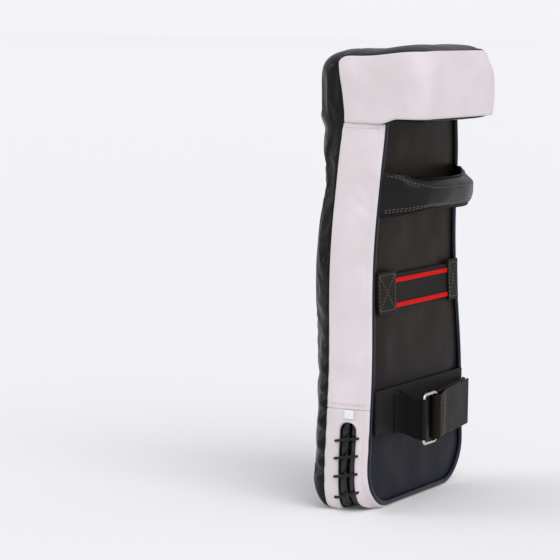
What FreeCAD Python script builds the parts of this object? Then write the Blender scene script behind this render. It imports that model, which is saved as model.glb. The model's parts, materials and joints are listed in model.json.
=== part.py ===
import FreeCAD, Part
import math
import os
import re
import Sketcher
from FreeCAD import Placement, Rotation, Vector

# A thai pad for kick and knee training, standing on its bottom edge.  X runs across the
# pad, -Y is the striking face, +Y the back panel that lies along the forearm, +Z is up.
# The origin is the middle of the bottom, at the centre of the overall box.
doc = FreeCAD.newDocument("thai_pad")
sheet = doc.addObject("Spreadsheet::Sheet", "sizes")

drivingSizes = [
    ("padHeight", 400, "height of the whole pad"),
    ("neckHeight", 338, "height of the fold under the head"),
    ("headWidth", 155, "width of the head block"),
    ("neckWidth", 153, "body width at the fold"),
    ("footWidth", 203, "body width that the straight sides reach at the bottom"),
    ("cornerRadius", 40, "bottom corners, seen from the front"),
    ("gussetDepth", 40, "depth of the white side strip"),
    ("frontDepth", 33, "striking face in front of the side strip, on the body"),
    ("headFrontDepth", 37, "the same on the head, which bulges further"),
    ("frontRoll", 24, "rolled edge of the striking face"),
    ("headOverhang", 33, "head standing out behind the back panel"),
    ("headCorner", 14, "upright back corners of the head"),
    ("crownRise", 7, "stuffed top panel above the white head band"),
    ("crownRoll", 5, "rolled edge of the top panel"),
    ("skin", 3, "cover leather with its lining"),
    ("facing", 2, "leather facing under the lacing"),
    ("backingDepth", 5, "firm foam sheet behind the back panel"),
    ("stripSeam", 90, "height of the seam between side strip and bottom strip"),
    ("pipingDiameter", 3.4, "piping along the rear seam"),
    ("pipingPlay", 0.15, "room round the piping"),
    ("slotWidth", 14.5, "lacing slot"),
    ("slotTop", 75, "height of the slot's round ends"),
    ("flareWidth", 27, "lacing slot where the pad stands on it"),
    ("flareHeight", 4, "height up to which the slot is flared"),
    ("facingWidth", 30, "both facings together"),
    ("facingSplit", 0.6, "gap where the two facings meet"),
    ("laceDiameter", 2.4, "round cord lace"),
    ("laceSpan", 20.6, "hole to hole across the slot"),
    ("lacePitch", 15.3, "bar to bar along the slot"),
    ("laceSlant", 1.5, "one end of a bar lower than the other"),
    ("laceHolePlay", 0.35, "room round the lace in its holes"),
    ("laceLift", 0.1, "lace above the leather it crosses"),
    ("laceRoom", 3.4, "depth of the lace channel in the foam"),
    ("laceBend", 2.15, "tight bend where the lace turns into a hole"),
    ("laceTail", 9, "lace end tucked in behind the first and last bars"),
    ("labelWidth", 9, "small blank label above the slot"),
    ("labelTall", 8, "its height"),
    ("labelThick", 0.6, "its thickness"),
    ("labelRise", 5, "label above the slot"),
    ("handleHeight", 276, "middle of the grip"),
    ("handleTall", 25, "padded grip"),
    ("handleDeep", 16, "padded grip, away from the panel"),
    ("handleReach", 37, "outside of the grip above the back panel"),
    ("handleInset", 3, "grip ends short of the panel's edge"),
    ("handleRound", 4.5, "rounded edges of the grip"),
    ("handleCoverWall", 2, "leather round the grip"),
    ("handleTabWide", 17, "flat sewn end of the grip"),
    ("handleTabTall", 39, "its height"),
    ("handleTabThick", 3, "its thickness"),
    ("gripWebTall", 19, "webbing inside the grip"),
    ("gripWebThick", 2, "its thickness"),
    ("bandHeight", 190, "middle of the elastic band"),
    ("bandTall", 30, "elastic band"),
    ("bandThick", 1.8, "elastic band"),
    ("tapeTall", 4, "red tape on the band"),
    ("tapeThick", 0.7, "red tape"),
    ("tapeMargin", 4, "upper red tape below the band's edge"),
    ("patchWide", 36, "end patch of the band"),
    ("patchTall", 37, "end patch"),
    ("patchThick", 1.6, "end patch"),
    ("edgeInset", 0.5, "patches and bands short of the panel's edge"),
    ("armHeight", 87, "middle of the base band under the forearm strap"),
    ("ringHeight", 78, "middle of the ring and the forearm strap"),
    ("baseTall", 38, "webbing base band under the forearm strap"),
    ("baseThick", 2.4, "base band"),
    ("ringOffset", 45.5, "ring's bar in the tab, from the middle of the pad"),
    ("ringWide", 25, "ring between the middles of its two bars"),
    ("ringTall", 43, "the same, from its lower to its upper bar"),
    ("ringWire", 3, "ring wire"),
    ("ringCorner", 3.5, "ring corners, at the middle of the wire"),
    ("ringStand", 27, "ring above the back panel"),
    ("ringSwing", 4, "degrees that the ring can turn either way in the strap"),
    ("ringPlay", 0.08, "room round the ring's bar in the tab"),
    ("tabTall", 36, "ring tab"),
    ("tabThick", 1.7, "one layer of the ring tab"),
    ("strapTall", 39, "forearm strap"),
    ("strapThick", 1.8, "one layer of the forearm strap"),
    ("strapPlay", 0.35, "room between the ring and the strap at the end of the swing"),
    ("creaseOffset", 88, "crease near the strap's sewn end, from the middle"),
    ("creaseStand", 6.5, "crease above the panel"),
    ("meetOffset", 15, "where the strap's two layers come together"),
    ("foldSetback", 5.5, "stitched line where the outer layer starts, past the ring's bar"),
    ("foldGap", 1.2, "gap between that line and the outer layer"),
    ("tongueEnd", 84, "free end of the outer layer, from the middle"),
    ("closureThick", 1.1, "hook tape and loop tape, each"),
    ("closureTall", 34, "hook tape and loop tape"),
    ("closureMargin", 5, "tapes short of the outer layer's end"),
]
for row, (alias, number, meaning) in enumerate(drivingSizes, start=1):
    sheet.set("A%d" % row, alias)
    sheet.set("B%d" % row, str(number))
    sheet.set("C%d" % row, meaning)
    sheet.setAlias("B%d" % row, alias)
doc.recompute()


def size(alias):
    return float(sheet.get(alias))


def bound(text):
    # an expression written with plain size names, pointed at the sheet
    return re.sub(r"[A-Za-z]\w*", r"sizes.\g<0>", text)


def originPlane(body, role):
    return next(item for item in body.Origin.OriginFeatures if item.Role == role)


def prism(label, lowWidth, highWidth, low, high, front, rear):
    # an upright trapezoid in XZ, centred on X, from y = rear forward to y = front
    body = doc.addObject("PartDesign::Body", label)
    body.Label = label
    sketch = body.newObject("Sketcher::SketchObject", label + "_outline")
    sketch.AttachmentSupport = [(originPlane(body, "XZ_Plane"), "")]
    sketch.MapMode = "FlatFace"
    sketch.setExpression("AttachmentOffset.Base.z", bound("-(%s)" % rear))
    corners = [Vector(-50, 10, 0), Vector(50, 10, 0), Vector(50, 90, 0), Vector(-50, 90, 0)]
    for here, there in zip(corners, corners[1:] + corners[:1]):
        sketch.addGeometry(Part.LineSegment(here, there), False)
    for side in range(4):
        sketch.addConstraint(Sketcher.Constraint("Coincident", side, 2, (side + 1) % 4, 1))
    sketch.addConstraint(Sketcher.Constraint("Symmetric", 0, 1, 0, 2, -2))
    sketch.addConstraint(Sketcher.Constraint("Symmetric", 2, 1, 2, 2, -2))
    measures = [
        (Sketcher.Constraint("DistanceX", 0, 1, 0, 2, 100), lowWidth),
        (Sketcher.Constraint("DistanceX", 2, 2, 2, 1, 100), highWidth),
        (Sketcher.Constraint("DistanceY", -1, 1, 0, 1, 10), low),
        (Sketcher.Constraint("DistanceY", -1, 1, 2, 1, 90), high),
    ]
    for constraint, expression in measures:
        index = sketch.addConstraint(constraint)
        sketch.setExpression("Constraints[%d]" % index, bound(expression))
    pad = body.newObject("PartDesign::Pad", label + "_pad")
    pad.Profile = sketch
    pad.setExpression("Length", bound("(%s) - (%s)" % (rear, front)))
    sketch.Visibility = False
    doc.recompute()
    return body


def roundEdges(body, radius, wanted):
    solid = body.Tip
    edges = ["Edge%d" % (index + 1) for index, edge in enumerate(solid.Shape.Edges) if wanted(edge)]
    fillet = body.newObject("PartDesign::Fillet", body.Label + "_round")
    fillet.Base = (solid, edges)
    fillet.setExpression("Radius", bound(radius))
    body.Tip = fillet
    doc.recompute()


def box(label, west, east, front, rear, low, high):
    piece = doc.addObject("Part::Box", label)
    piece.Label = label
    for name, start, end, place in (("Length", west, east, "x"), ("Width", front, rear, "y"),
                                    ("Height", low, high, "z")):
        piece.setExpression(name, bound("(%s) - (%s)" % (end, start)))
        piece.setExpression("Placement.Base.%s" % place, bound(start))
    return piece


def boolean(kind, label, base, tool):
    piece = doc.addObject("Part::" + kind, label)
    piece.Label = label
    piece.Base = base
    piece.Tool = tool
    return piece


def feature(label, shape):
    piece = doc.addObject("Part::Feature", label)
    piece.Label = label
    piece.Shape = shape
    piece.Placement = Placement()
    return piece


# ------------------------------------------------------------ planes shared by the pieces
frontSeam = "-gussetDepth / 2"
rearFace = "gussetDepth / 2"
notch = "(pipingDiameter + 2 * pipingPlay)"
bandTop = "(padHeight - crownRise)"


taper = "(footWidth - neckWidth) / neckHeight"


def bodyWidths(inset, high):
    # widths at the foot and at the top of the body outline moved in by inset
    return ("footWidth - (%s) * (2 + %s)" % (inset, taper),
            "neckWidth - (%s) * (%s - neckHeight) - 2 * (%s)" % (taper, high, inset))


def bodyPrism(label, inset, front, rear, high="neckHeight"):
    footWide, topWide = bodyWidths(inset, high)
    body = prism(label, footWide, topWide, inset, high, front, rear)

    def isFootCorner(edge):
        along = edge.Vertexes[1].Point - edge.Vertexes[0].Point
        return abs(along.y) > 0.9 * edge.Length and edge.CenterOfMass.z < size("cornerRadius") / 2

    roundEdges(body, "cornerRadius - (%s)" % inset, isFootCorner)
    return body


# ------------------------------------------------------------ side strips and bottom strip
shellRear = "%s - %s" % (rearFace, notch)
gussetOuter = bodyPrism("gusset_outer", "0", frontSeam, shellRear)
gussetInner = bodyPrism("gusset_inner", "skin", frontSeam, shellRear)
gusset = boolean("Cut", "gusset", gussetOuter, gussetInner)
reach = "footWidth"
rightZone = box("right_zone", "0", reach, frontSeam, rearFace, "stripSeam", "neckHeight")
leftZone = box("left_zone", "-" + reach, "0", frontSeam, rearFace, "stripSeam", "neckHeight")
footZone = box("foot_zone", "-" + reach, reach, frontSeam, rearFace, "0", "stripSeam")
sideRight = boolean("Common", "side_strip_right", gusset, rightZone)
sideLeft = boolean("Common", "side_strip_left", gusset, leftZone)
footStrip = boolean("Common", "foot_strip_uncut", gusset, footZone)

# the slot runs up one side, under the foot and up the other side
slotStraight = box("slot_straight", "-" + reach, reach, "-slotWidth / 2", "slotWidth / 2",
                   "-cornerRadius", "slotTop - slotWidth / 2")
slotRound = doc.addObject("Part::Cylinder", "slot_round")
slotRound.setExpression("Radius", bound("slotWidth / 2"))
slotRound.setExpression("Height", bound("2 * footWidth"))
slotRound.Placement = Placement(Vector(), Rotation(Vector(0, 1, 0), 90))
slotRound.setExpression("Placement.Base.x", bound("-footWidth"))
slotRound.setExpression("Placement.Base.z", bound("slotTop - slotWidth / 2"))
slotFlare = box("slot_flare", "-" + reach, reach, "-flareWidth / 2", "flareWidth / 2",
                "-cornerRadius", "flareHeight")
slotSides = boolean("Fuse", "slot_sides", slotStraight, slotRound)
slotAll = boolean("Fuse", "slot_all", slotSides, slotFlare)
footSlotted = boolean("Cut", "foot_strip_slotted", footStrip, slotAll)

facingFloor = bodyPrism("facing_floor", "skin + facing", frontSeam, rearFace)
facingBand = boolean("Cut", "facing_band", gussetInner, facingFloor)
facingHigh = "slotTop + (facingWidth - slotWidth) / 2"
facingFrontZone = box("facing_front_zone", "-" + reach, reach, "-facingWidth / 2",
                      "-facingSplit / 2", "0", facingHigh)
facingRearZone = box("facing_rear_zone", "-" + reach, reach, "facingSplit / 2",
                     "facingWidth / 2", "0", facingHigh)
facingFront = boolean("Common", "facing_front_whole", facingBand, facingFrontZone)
facingRear = boolean("Common", "facing_rear_whole", facingBand, facingRearZone)
doc.recompute()

# ------------------------------------------------------------ the outline as a path
leanAngle = math.atan((size("footWidth") - size("neckWidth")) / 2 / size("neckHeight"))
cornerTurn = math.pi / 2 + leanAngle
flatHalf = size("footWidth") / 2 - size("cornerRadius") * math.tan(cornerTurn / 2)
cornerLength = size("cornerRadius") * cornerTurn


def outlineAt(distance, inset):
    # point and outward direction at a distance along the outline from the bottom's middle
    side = -1 if distance < 0 else 1
    run = abs(distance)
    turn = min(max(run - flatHalf, 0) / size("cornerRadius"), cornerTurn)
    outward = Vector(math.sin(turn), 0, -math.cos(turn))
    radius = size("cornerRadius") - inset
    point = Vector(min(run, flatHalf), 0, size("cornerRadius")) + outward * radius
    beyond = max(run - flatHalf - cornerLength, 0)
    point = point + Vector(math.cos(cornerTurn), 0, math.sin(cornerTurn)) * beyond
    return Vector(side * point.x, 0, point.z), Vector(side * outward.x, 0, outward.z)


def roundedWire(points, radius, closed=False):
    # straight runs joined by tangent arcs
    edges = []
    count = len(points)
    corners = range(count) if closed else range(1, count - 1)
    starts = {}
    ends = {}
    for index in corners:
        before, here, after = points[index - 1], points[index], points[(index + 1) % count]
        toBefore = (before - here).normalize()
        toAfter = (after - here).normalize()
        halfTurn = (math.pi - toBefore.getAngle(toAfter)) / 2
        cut = radius * math.tan(halfTurn)
        middle = here + (toBefore + toAfter).normalize() * (radius / math.cos(halfTurn) - radius)
        starts[index] = here + toBefore * cut
        ends[index] = here + toAfter * cut
        edges.append((index, Part.Arc(starts[index], middle, ends[index]).toShape()))
    ordered = []
    for index in range(count if closed else count - 1):
        following = (index + 1) % count
        lineStart = ends.get(index, points[index])
        lineEnd = starts.get(following, points[following])
        ordered.append((index + 0.5, Part.LineSegment(lineStart, lineEnd).toShape()))
    joined = sorted(edges + ordered, key=lambda item: item[0])
    return Part.Wire([edge for place, edge in joined])


def tube(path, diameter):
    start = path.Edges[0].valueAt(path.Edges[0].FirstParameter)
    along = path.Edges[0].tangentAt(path.Edges[0].FirstParameter)
    circle = Part.Wire([Part.Circle(start, along, diameter / 2).toShape()])
    solid = path.makePipeShell([circle], True, False)
    expected = math.pi * diameter ** 2 / 4 * path.Length
    print("tube volume %.0f of %.0f expected" % (solid.Volume, expected))
    return solid


# ------------------------------------------------------------ lace, one cord in and out
laceRadius = size("laceDiameter") / 2
outsideHeight = laceRadius + size("laceLift")
runEnd = flatHalf + cornerLength + (size("slotTop") - size("cornerRadius")) / math.cos(leanAngle)
barRoom = 2 * (runEnd - size("slotWidth") / 2)
barCount = int(barRoom / size("lacePitch")) + 1
barStep = size("lacePitch")
insideDepth = size("skin") + size("facing") + outsideHeight
toolOver = 1.0  # a cutting tool goes this far past the leather
flareAngle = math.acos((size("cornerRadius") - size("flareHeight")) / size("cornerRadius"))
flareEnd = flatHalf + size("cornerRadius") * flareAngle
barReach = size("laceSlant") / 2 + laceRadius + size("laceHolePlay")


def inFlare(distance):
    return abs(distance) < flareEnd - barReach


def barInset(distance):
    # a bar crosses on the outside, but lies in the flare where the pad stands on it
    return size("skin") - outsideHeight if inFlare(distance) else -outsideHeight


def barRecess(distance):
    # room through the leather for a bar that lies in the flare
    along = size("laceSlant") + 2 * (laceRadius + size("laceHolePlay"))
    point, outward = outlineAt(distance, size("skin") + toolOver)
    recess = Part.makeBox(along, size("laceSpan"), size("skin") + 2 * toolOver,
                          Vector(-along / 2, -size("laceSpan") / 2, 0))
    turn = math.degrees(math.atan2(outward.x, outward.z))
    recess.rotate(Vector(0, 0, 0), Vector(0, 1, 0), turn)
    recess.translate(Vector(point.x, 0, point.z))
    return recess


def lacePoint(distance, across, inset):
    point, outward = outlineAt(distance, inset)
    return Vector(point.x, across, point.z)


lacePoints = []
laceHoleTools = []
recessTools = []
half = size("laceSpan") / 2
for index in range(barCount):
    middle = (index - (barCount - 1) / 2) * barStep
    if inFlare(middle):
        recessTools.append(barRecess(middle))
    for across, shift in ((-half, -size("laceSlant") / 2), (half, size("laceSlant") / 2)):
        place = middle + shift
        outer = lacePoint(place, across, barInset(middle))
        inner = lacePoint(place, across, insideDepth)
        lacePoints.extend([inner, outer] if across < 0 else [outer, inner])
        point, outward = outlineAt(place, size("skin") + size("facing") + toolOver)
        laceHoleTools.append(Part.makeCylinder(
            laceRadius + size("laceHolePlay"), size("skin") + size("facing") + 2 * toolOver,
            Vector(point.x, across, point.z), outward))
tailPlace = (barCount - 1) / 2 * barStep + size("laceSlant") / 2 - size("laceTail")
lacePoints.insert(0, lacePoint(-tailPlace, 0, insideDepth))
lacePoints.append(lacePoint(tailPlace, 0, insideDepth))
lace = feature("lace", tube(roundedWire(lacePoints, size("laceBend")), size("laceDiameter")))
laceHoles = feature("lace_holes", Part.makeCompound(laceHoleTools))
barRecesses = feature("bar_recesses", Part.makeCompound(recessTools))
footRecessed = boolean("Cut", "foot_recessed", footSlotted, barRecesses)
bottomStrip = boolean("Cut", "bottom_strip", footRecessed, laceHoles)
slotFacingFront = boolean("Cut", "slot_facing_front", facingFront, laceHoles)
slotFacingRear = boolean("Cut", "slot_facing_rear", facingRear, laceHoles)

# ------------------------------------------------------------ foams, back panel and piping
foamInset = "(skin + facing)"
coreRear = "(%s - skin - backingDepth)" % rearFace
corePlain = bodyPrism("core_plain", foamInset, frontSeam, coreRear, "neckHeight + skin")
channelFloor = bodyPrism("channel_floor", foamInset + " + laceRoom", frontSeam, rearFace)
channelBand = boolean("Cut", "channel_band", facingFloor, channelFloor)
channelHalf = "laceSpan / 2 + laceDiameter / 2 + laceHolePlay"
channelZone = box("channel_zone", "-" + reach, reach, "-(%s)" % channelHalf, channelHalf,
                  "0", "slotTop")
channel = boolean("Common", "lace_channel", channelBand, channelZone)
coreFoam = boolean("Cut", "core_foam", corePlain, channel)
backingPlain = bodyPrism("backing_plain", foamInset, coreRear, rearFace + " - skin", "neckHeight + skin")
backingFoam = boolean("Cut", "backing_foam", backingPlain, channel)
backPanel = bodyPrism("back_panel", notch, rearFace + " - skin", rearFace)

pipingInset = size("pipingDiameter") / 2 + size("pipingPlay")
pipingY = size("gussetDepth") / 2 - pipingInset
footHalf = size("footWidth") / 2 - pipingInset * (1 + math.tan(leanAngle))
neckHalf = size("neckWidth") / 2 - pipingInset
pipingPoints = [Vector(neckHalf, pipingY, size("neckHeight")), Vector(footHalf, pipingY, pipingInset),
                Vector(-footHalf, pipingY, pipingInset), Vector(-neckHalf, pipingY, size("neckHeight"))]
rearPiping = feature("rear_piping", tube(
    roundedWire(pipingPoints, size("cornerRadius") - pipingInset), size("pipingDiameter")))

# ------------------------------------------------------------ striking face


def isFrontRim(body):
    # the edges of the front face, apart from those at the neck, where head and body meet
    front = body.Tip.Shape.BoundBox.YMin
    neck = size("neckHeight")

    def wanted(edge):
        onFront = all(abs(vertex.Y - front) < 0.01 for vertex in edge.Vertexes)
        return onFront and abs(edge.CenterOfMass.z - neck) > 0.01
    return wanted


def strikeFace(label, inset):
    front = "%s - frontDepth + %s" % (frontSeam, inset)
    bodyPart = bodyPrism(label + "_body", inset, front, frontSeam)
    roundEdges(bodyPart, "frontRoll - " + inset, isFrontRim(bodyPart))
    headFront = "%s - headFrontDepth + %s" % (frontSeam, inset)
    headWide = "headWidth - 2 * %s" % inset
    headPart = prism(label + "_head", headWide, headWide, "neckHeight", "padHeight - " + inset,
                     headFront, frontSeam)
    roundEdges(headPart, "frontRoll - " + inset, isFrontRim(headPart))
    return boolean("Fuse", label, bodyPart, headPart)


strikeOuter = strikeFace("strike_outer", "0")
strikeFoam = strikeFace("strike_foam", "skin")
frontCover = boolean("Cut", "front_cover", strikeOuter, strikeFoam)

# ------------------------------------------------------------ head block
headRear = "gussetDepth / 2 + headOverhang"


def isRearUpright(rear):
    def wanted(edge):
        upright = abs(edge.Vertexes[1].Z - edge.Vertexes[0].Z) > 0.9 * edge.Length
        return upright and edge.CenterOfMass.y > rear - 0.01
    return wanted


def isUpperRim(edge):
    top = size("padHeight")
    front = -size("gussetDepth") / 2
    level = all(abs(vertex.Z - top) < 0.01 for vertex in edge.Vertexes)
    return level and edge.CenterOfMass.y > front + 0.01


def headPrism(label, inset, low, high, front=frontSeam):
    wide = "headWidth - 2 * %s" % inset
    body = prism(label, wide, wide, low, high, front, headRear + " - " + inset)
    rear = max(vertex.Y for vertex in body.Tip.Shape.Vertexes)
    roundEdges(body, "headCorner - " + inset, isRearUpright(rear))
    return body


headOuter = headPrism("head_outer", "0", "neckHeight", bandTop)
headInner = headPrism("head_inner", "skin", "neckHeight", bandTop)
headBand = boolean("Cut", "head_band", headOuter, headInner)
headFoam = headPrism("head_foam", "skin", "neckHeight + skin", bandTop)
headUnderside = headPrism("head_underside_panel", "skin", "neckHeight", "neckHeight + skin", rearFace)
headTop = headPrism("head_top_panel", "0", bandTop, "padHeight")
roundEdges(headTop, "crownRoll", isUpperRim)

# ------------------------------------------------------------ blank label above the slot
labelAt = runEnd + size("labelRise") + size("labelTall") / 2
labelPoint = outlineAt(labelAt, 0)[0]
label = doc.addObject("Part::Box", "blank_label")
label.Label = "blank_label"
label.setExpression("Length", bound("labelThick"))
label.setExpression("Width", bound("labelWidth"))
label.setExpression("Height", bound("labelTall"))
labelTurn = Rotation(Vector(0, 1, 0), -math.degrees(leanAngle))
labelCorner = Vector(0, -size("labelWidth") / 2, -size("labelTall") / 2)
label.Placement = Placement(labelPoint + labelTurn.multVec(labelCorner), labelTurn)

# ------------------------------------------------------------ grip handle
halfAtHandle = "(neckWidth / 2 + %s / 2 * (neckHeight - handleHeight) - %s - handleInset)" % (taper, notch)


def arch(label, shrink, tall, depth):
    # a crescent in plan, between an outer and an inner circle, both ending on the panel
    body = doc.addObject("PartDesign::Body", label)
    body.Label = label
    sketch = body.newObject("Sketcher::SketchObject", label + "_plan")
    sketch.AttachmentSupport = [(originPlane(body, "XY_Plane"), "")]
    sketch.MapMode = "FlatFace"
    sketch.setExpression("AttachmentOffset.Base.z", bound("handleHeight - (%s) / 2" % tall))
    outerHalf = "(%s - (%s))" % (halfAtHandle, shrink)
    outerRise = "(handleReach - (%s))" % shrink
    innerHalf = "(%s - (%s) - (%s))" % (halfAtHandle, shrink, depth)
    innerRise = "(handleReach - (%s) - (%s))" % (shrink, depth)
    for halfSpan, rise in ((70, 30), (50, 15)):
        radius = (halfSpan ** 2 + rise ** 2) / (2 * rise)
        centre = Vector(0, 20 + rise - radius, 0)
        spread = math.asin(halfSpan / radius)
        circle = Part.Circle(centre, Vector(0, 0, 1), radius)
        sketch.addGeometry(Part.ArcOfCircle(circle, math.pi / 2 - spread, math.pi / 2 + spread), False)
    sketch.addGeometry(Part.LineSegment(Vector(-70, 20, 0), Vector(-50, 20, 0)), False)
    sketch.addGeometry(Part.LineSegment(Vector(70, 20, 0), Vector(50, 20, 0)), False)
    for ends in ((0, 2, 2, 1), (1, 2, 2, 2), (0, 1, 3, 1), (1, 1, 3, 2)):
        sketch.addConstraint(Sketcher.Constraint("Coincident", *ends))
    for line in (2, 3):
        sketch.addConstraint(Sketcher.Constraint("Horizontal", line))
    for arc in (0, 1):
        sketch.addConstraint(Sketcher.Constraint("PointOnObject", arc, 3, -2))
    chordRadius = "({0} ^ 2 + {1} ^ 2) / (2 * {1})"
    measures = [
        (Sketcher.Constraint("DistanceX", -1, 1, 0, 1, 70), outerHalf),
        (Sketcher.Constraint("DistanceX", -1, 1, 1, 1, 50), innerHalf),
        (Sketcher.Constraint("DistanceY", -1, 1, 0, 1, 20), rearFace),
        (Sketcher.Constraint("DistanceY", -1, 1, 0, 2, 20), rearFace),
        (Sketcher.Constraint("Radius", 0, 96.7), chordRadius.format(outerHalf, outerRise)),
        (Sketcher.Constraint("Radius", 1, 90.8), chordRadius.format(innerHalf, innerRise)),
    ]
    for constraint, expression in measures:
        index = sketch.addConstraint(constraint)
        sketch.setExpression("Constraints[%d]" % index, bound(expression))
    pad = body.newObject("PartDesign::Pad", label + "_pad")
    pad.Profile = sketch
    pad.setExpression("Length", bound(tall))
    sketch.Visibility = False
    doc.recompute()
    return body


def isLongArc(edge):
    return edge.Curve.TypeId == "Part::GeomCircle" and edge.Length > size("handleTall")


gripOuter = arch("grip_outer", "0", "handleTall", "handleDeep")
roundEdges(gripOuter, "handleRound", isLongArc)
gripInner = arch("grip_inner", "handleCoverWall", "handleTall - 2 * handleCoverWall",
                 "handleDeep - 2 * handleCoverWall")
roundEdges(gripInner, "handleRound - handleCoverWall", isLongArc)
webShrink = "(handleDeep - gripWebThick) / 2"
gripWebbing = arch("handle_webbing", webShrink, "gripWebTall", "gripWebThick")
gripTabs = []
for sideName, west, east in (("right", halfAtHandle + " - handleTabWide", halfAtHandle),
                             ("left", "-" + halfAtHandle, "-(%s - handleTabWide)" % halfAtHandle)):
    gripTabs.append(box("grip_tab_" + sideName, west, east, rearFace, rearFace + " + handleTabThick",
                        "handleHeight - handleTabTall / 2", "handleHeight + handleTabTall / 2"))
gripTabPair = boolean("Fuse", "grip_tabs", gripTabs[0], gripTabs[1])
gripWhole = boolean("Fuse", "grip_whole", gripOuter, gripTabPair)
handleCover = boolean("Cut", "handle_cover", gripWhole, gripInner)
handleCore = boolean("Cut", "handle_core", gripInner, gripWebbing)

# ------------------------------------------------------------ elastic band with red tapes


def halfWidthAt(height):
    # half of the back panel's width at a height, short of its edge
    return "(neckWidth / 2 + %s / 2 * (neckHeight - %s) - %s - edgeInset)" % (taper, height, notch)


bandHalf = halfWidthAt("bandHeight")
bandRear = rearFace + " + bandThick"
bandLow = "bandHeight - bandTall / 2"
elasticBand = box("elastic_band", "-(%s - patchThick)" % bandHalf, bandHalf + " - patchThick",
                  rearFace, bandRear, bandLow, "bandHeight + bandTall / 2")
patchInner = "(%s - patchWide)" % bandHalf
tapeLows = {"upper": "bandHeight + bandTall / 2 - tapeMargin - tapeTall", "lower": bandLow}
redTapes = [box("red_tape_" + name, "-" + patchInner, patchInner, bandRear, bandRear + " + tapeThick",
                low, low + " + tapeTall") for name, low in tapeLows.items()]
patchSpans = {"right": (patchInner, bandHalf), "left": ("-" + bandHalf, "-" + patchInner)}
bandPatches = [box("band_patch_" + name, west, east, bandRear, bandRear + " + patchThick",
                   "bandHeight - patchTall / 2", "bandHeight + patchTall / 2")
               for name, (west, east) in patchSpans.items()]

# ------------------------------------------------------------ forearm strap with its ring
armHalf = halfWidthAt("armHeight")
baseRear = rearFace + " + baseThick"
baseBand = box("base_band", "-" + armHalf, armHalf, rearFace, baseRear,
               "armHeight - baseTall / 2", "armHeight + baseTall / 2")


def upright(label, x, y, radius, tall):
    # a round bar standing along Z, centred on the strap's height
    piece = doc.addObject("Part::Cylinder", label)
    piece.setExpression("Radius", bound(radius))
    piece.setExpression("Height", bound(tall))
    piece.setExpression("Placement.Base.x", bound(x))
    piece.setExpression("Placement.Base.y", bound(y))
    piece.setExpression("Placement.Base.z", bound("ringHeight - (%s) / 2" % tall))
    return piece


ringY = rearFace + " + ringStand"
sleeveOuter = upright("sleeve_outer", "ringOffset", ringY, "ringWire / 2 + ringPlay + tabThick", "tabTall")
sleeveHole = upright("sleeve_hole", "ringOffset", ringY, "ringWire / 2 + ringPlay", "tabTall")
tabStem = box("tab_stem", "ringOffset - tabThick", "ringOffset + tabThick", baseRear, ringY,
              "ringHeight - tabTall / 2", "ringHeight + tabTall / 2")
tabWhole = boolean("Fuse", "tab_whole", tabStem, sleeveOuter)
ringTab = boolean("Cut", "ring_tab", tabWhole, sleeveHole)

panelY = size("gussetDepth") / 2
tabBar = Vector(size("ringOffset"), panelY + size("ringStand"), size("ringHeight"))
strapBar = tabBar - Vector(size("ringWide"), 0, 0)
ringHalf = Vector(0, 0, size("ringTall") / 2)
rectRing = feature("rect_ring", tube(
    roundedWire([strapBar - ringHalf, tabBar - ringHalf, tabBar + ringHalf, strapBar + ringHalf],
                size("ringCorner"), closed=True), size("ringWire")))


def ribbon(points, thickness, tall):
    # a flat strap on edge: a centre line in plan, given its thickness, standing tall along Z
    offsets = []
    for index, here in enumerate(points):
        directions = []
        if index > 0:
            directions.append((here - points[index - 1]).normalize())
        if index < len(points) - 1:
            directions.append((points[index + 1] - here).normalize())
        normals = [Vector(-way.y, way.x, 0) for way in directions]
        mitre = normals[0] + normals[-1]
        offsets.append(mitre * (thickness / 2 / mitre.dot(normals[0])))
    outline = [point + offset for point, offset in zip(points, offsets)]
    outline += [point - offset for point, offset in reversed(list(zip(points, offsets)))]
    low = size("ringHeight") - tall / 2
    corners = [Vector(point.x, point.y, low) for point in outline]
    face = Part.Face(Part.makePolygon(corners + corners[:1]))
    return face.extrude(Vector(0, 0, tall))


strapThick = size("strapThick")
ringTravel = size("ringWide") * math.sin(math.radians(size("ringSwing")))
loopInner = size("ringWire") / 2 + ringTravel + size("strapPlay")
loopMiddle = loopInner + strapThick / 2
doc.recompute()
sewnEnd = Vector(baseBand.Placement.Base.x, panelY + size("baseThick") + strapThick / 2, 0)
crease = Vector(-size("creaseOffset"), panelY + size("creaseStand"), 0)
barLevel = Vector(strapBar.x, strapBar.y, 0)
underBar = barLevel - Vector(0, loopMiddle, 0)
overBar = barLevel + Vector(0, loopMiddle, 0)
innerWay = (underBar - crease).normalize()
outwardWay = Vector(-innerWay.y, innerWay.x, 0)


def alongInner(offset, lift):
    # a point above the inner layer, at x = -offset before the lift is added
    return crease + innerWay * ((-offset - crease.x) / innerWay.x) + outwardWay * lift


closureThick = size("closureThick")
meet = alongInner(size("meetOffset"), strapThick + 2 * closureThick)
outerWay = (meet - overBar).normalize()
foldLine = overBar + outerWay * size("foldSetback")
loopShell = Part.makeCylinder(loopInner + strapThick, size("strapTall")).cut(
    Part.makeCylinder(loopInner, size("strapTall")))
loopHalf = loopShell.common(Part.makeBox(4 * loopInner, 4 * loopInner, size("strapTall"),
                                         Vector(0, -2 * loopInner, 0)))
loopHalf.translate(barLevel + Vector(0, 0, size("ringHeight") - size("strapTall") / 2))
armStrap = feature("arm_strap", ribbon([sewnEnd, crease, underBar], strapThick, size("strapTall")).fuse(
    [loopHalf, ribbon([overBar, foldLine], strapThick, size("strapTall"))]).removeSplitter())
tongueStart = foldLine + outerWay * size("foldGap")
tongueTip = alongInner(size("tongueEnd"), strapThick + 2 * closureThick)
strapTongue = feature("strap_tongue", ribbon([tongueStart, meet, tongueTip], strapThick, size("strapTall")))
closurePieces = []
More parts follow.
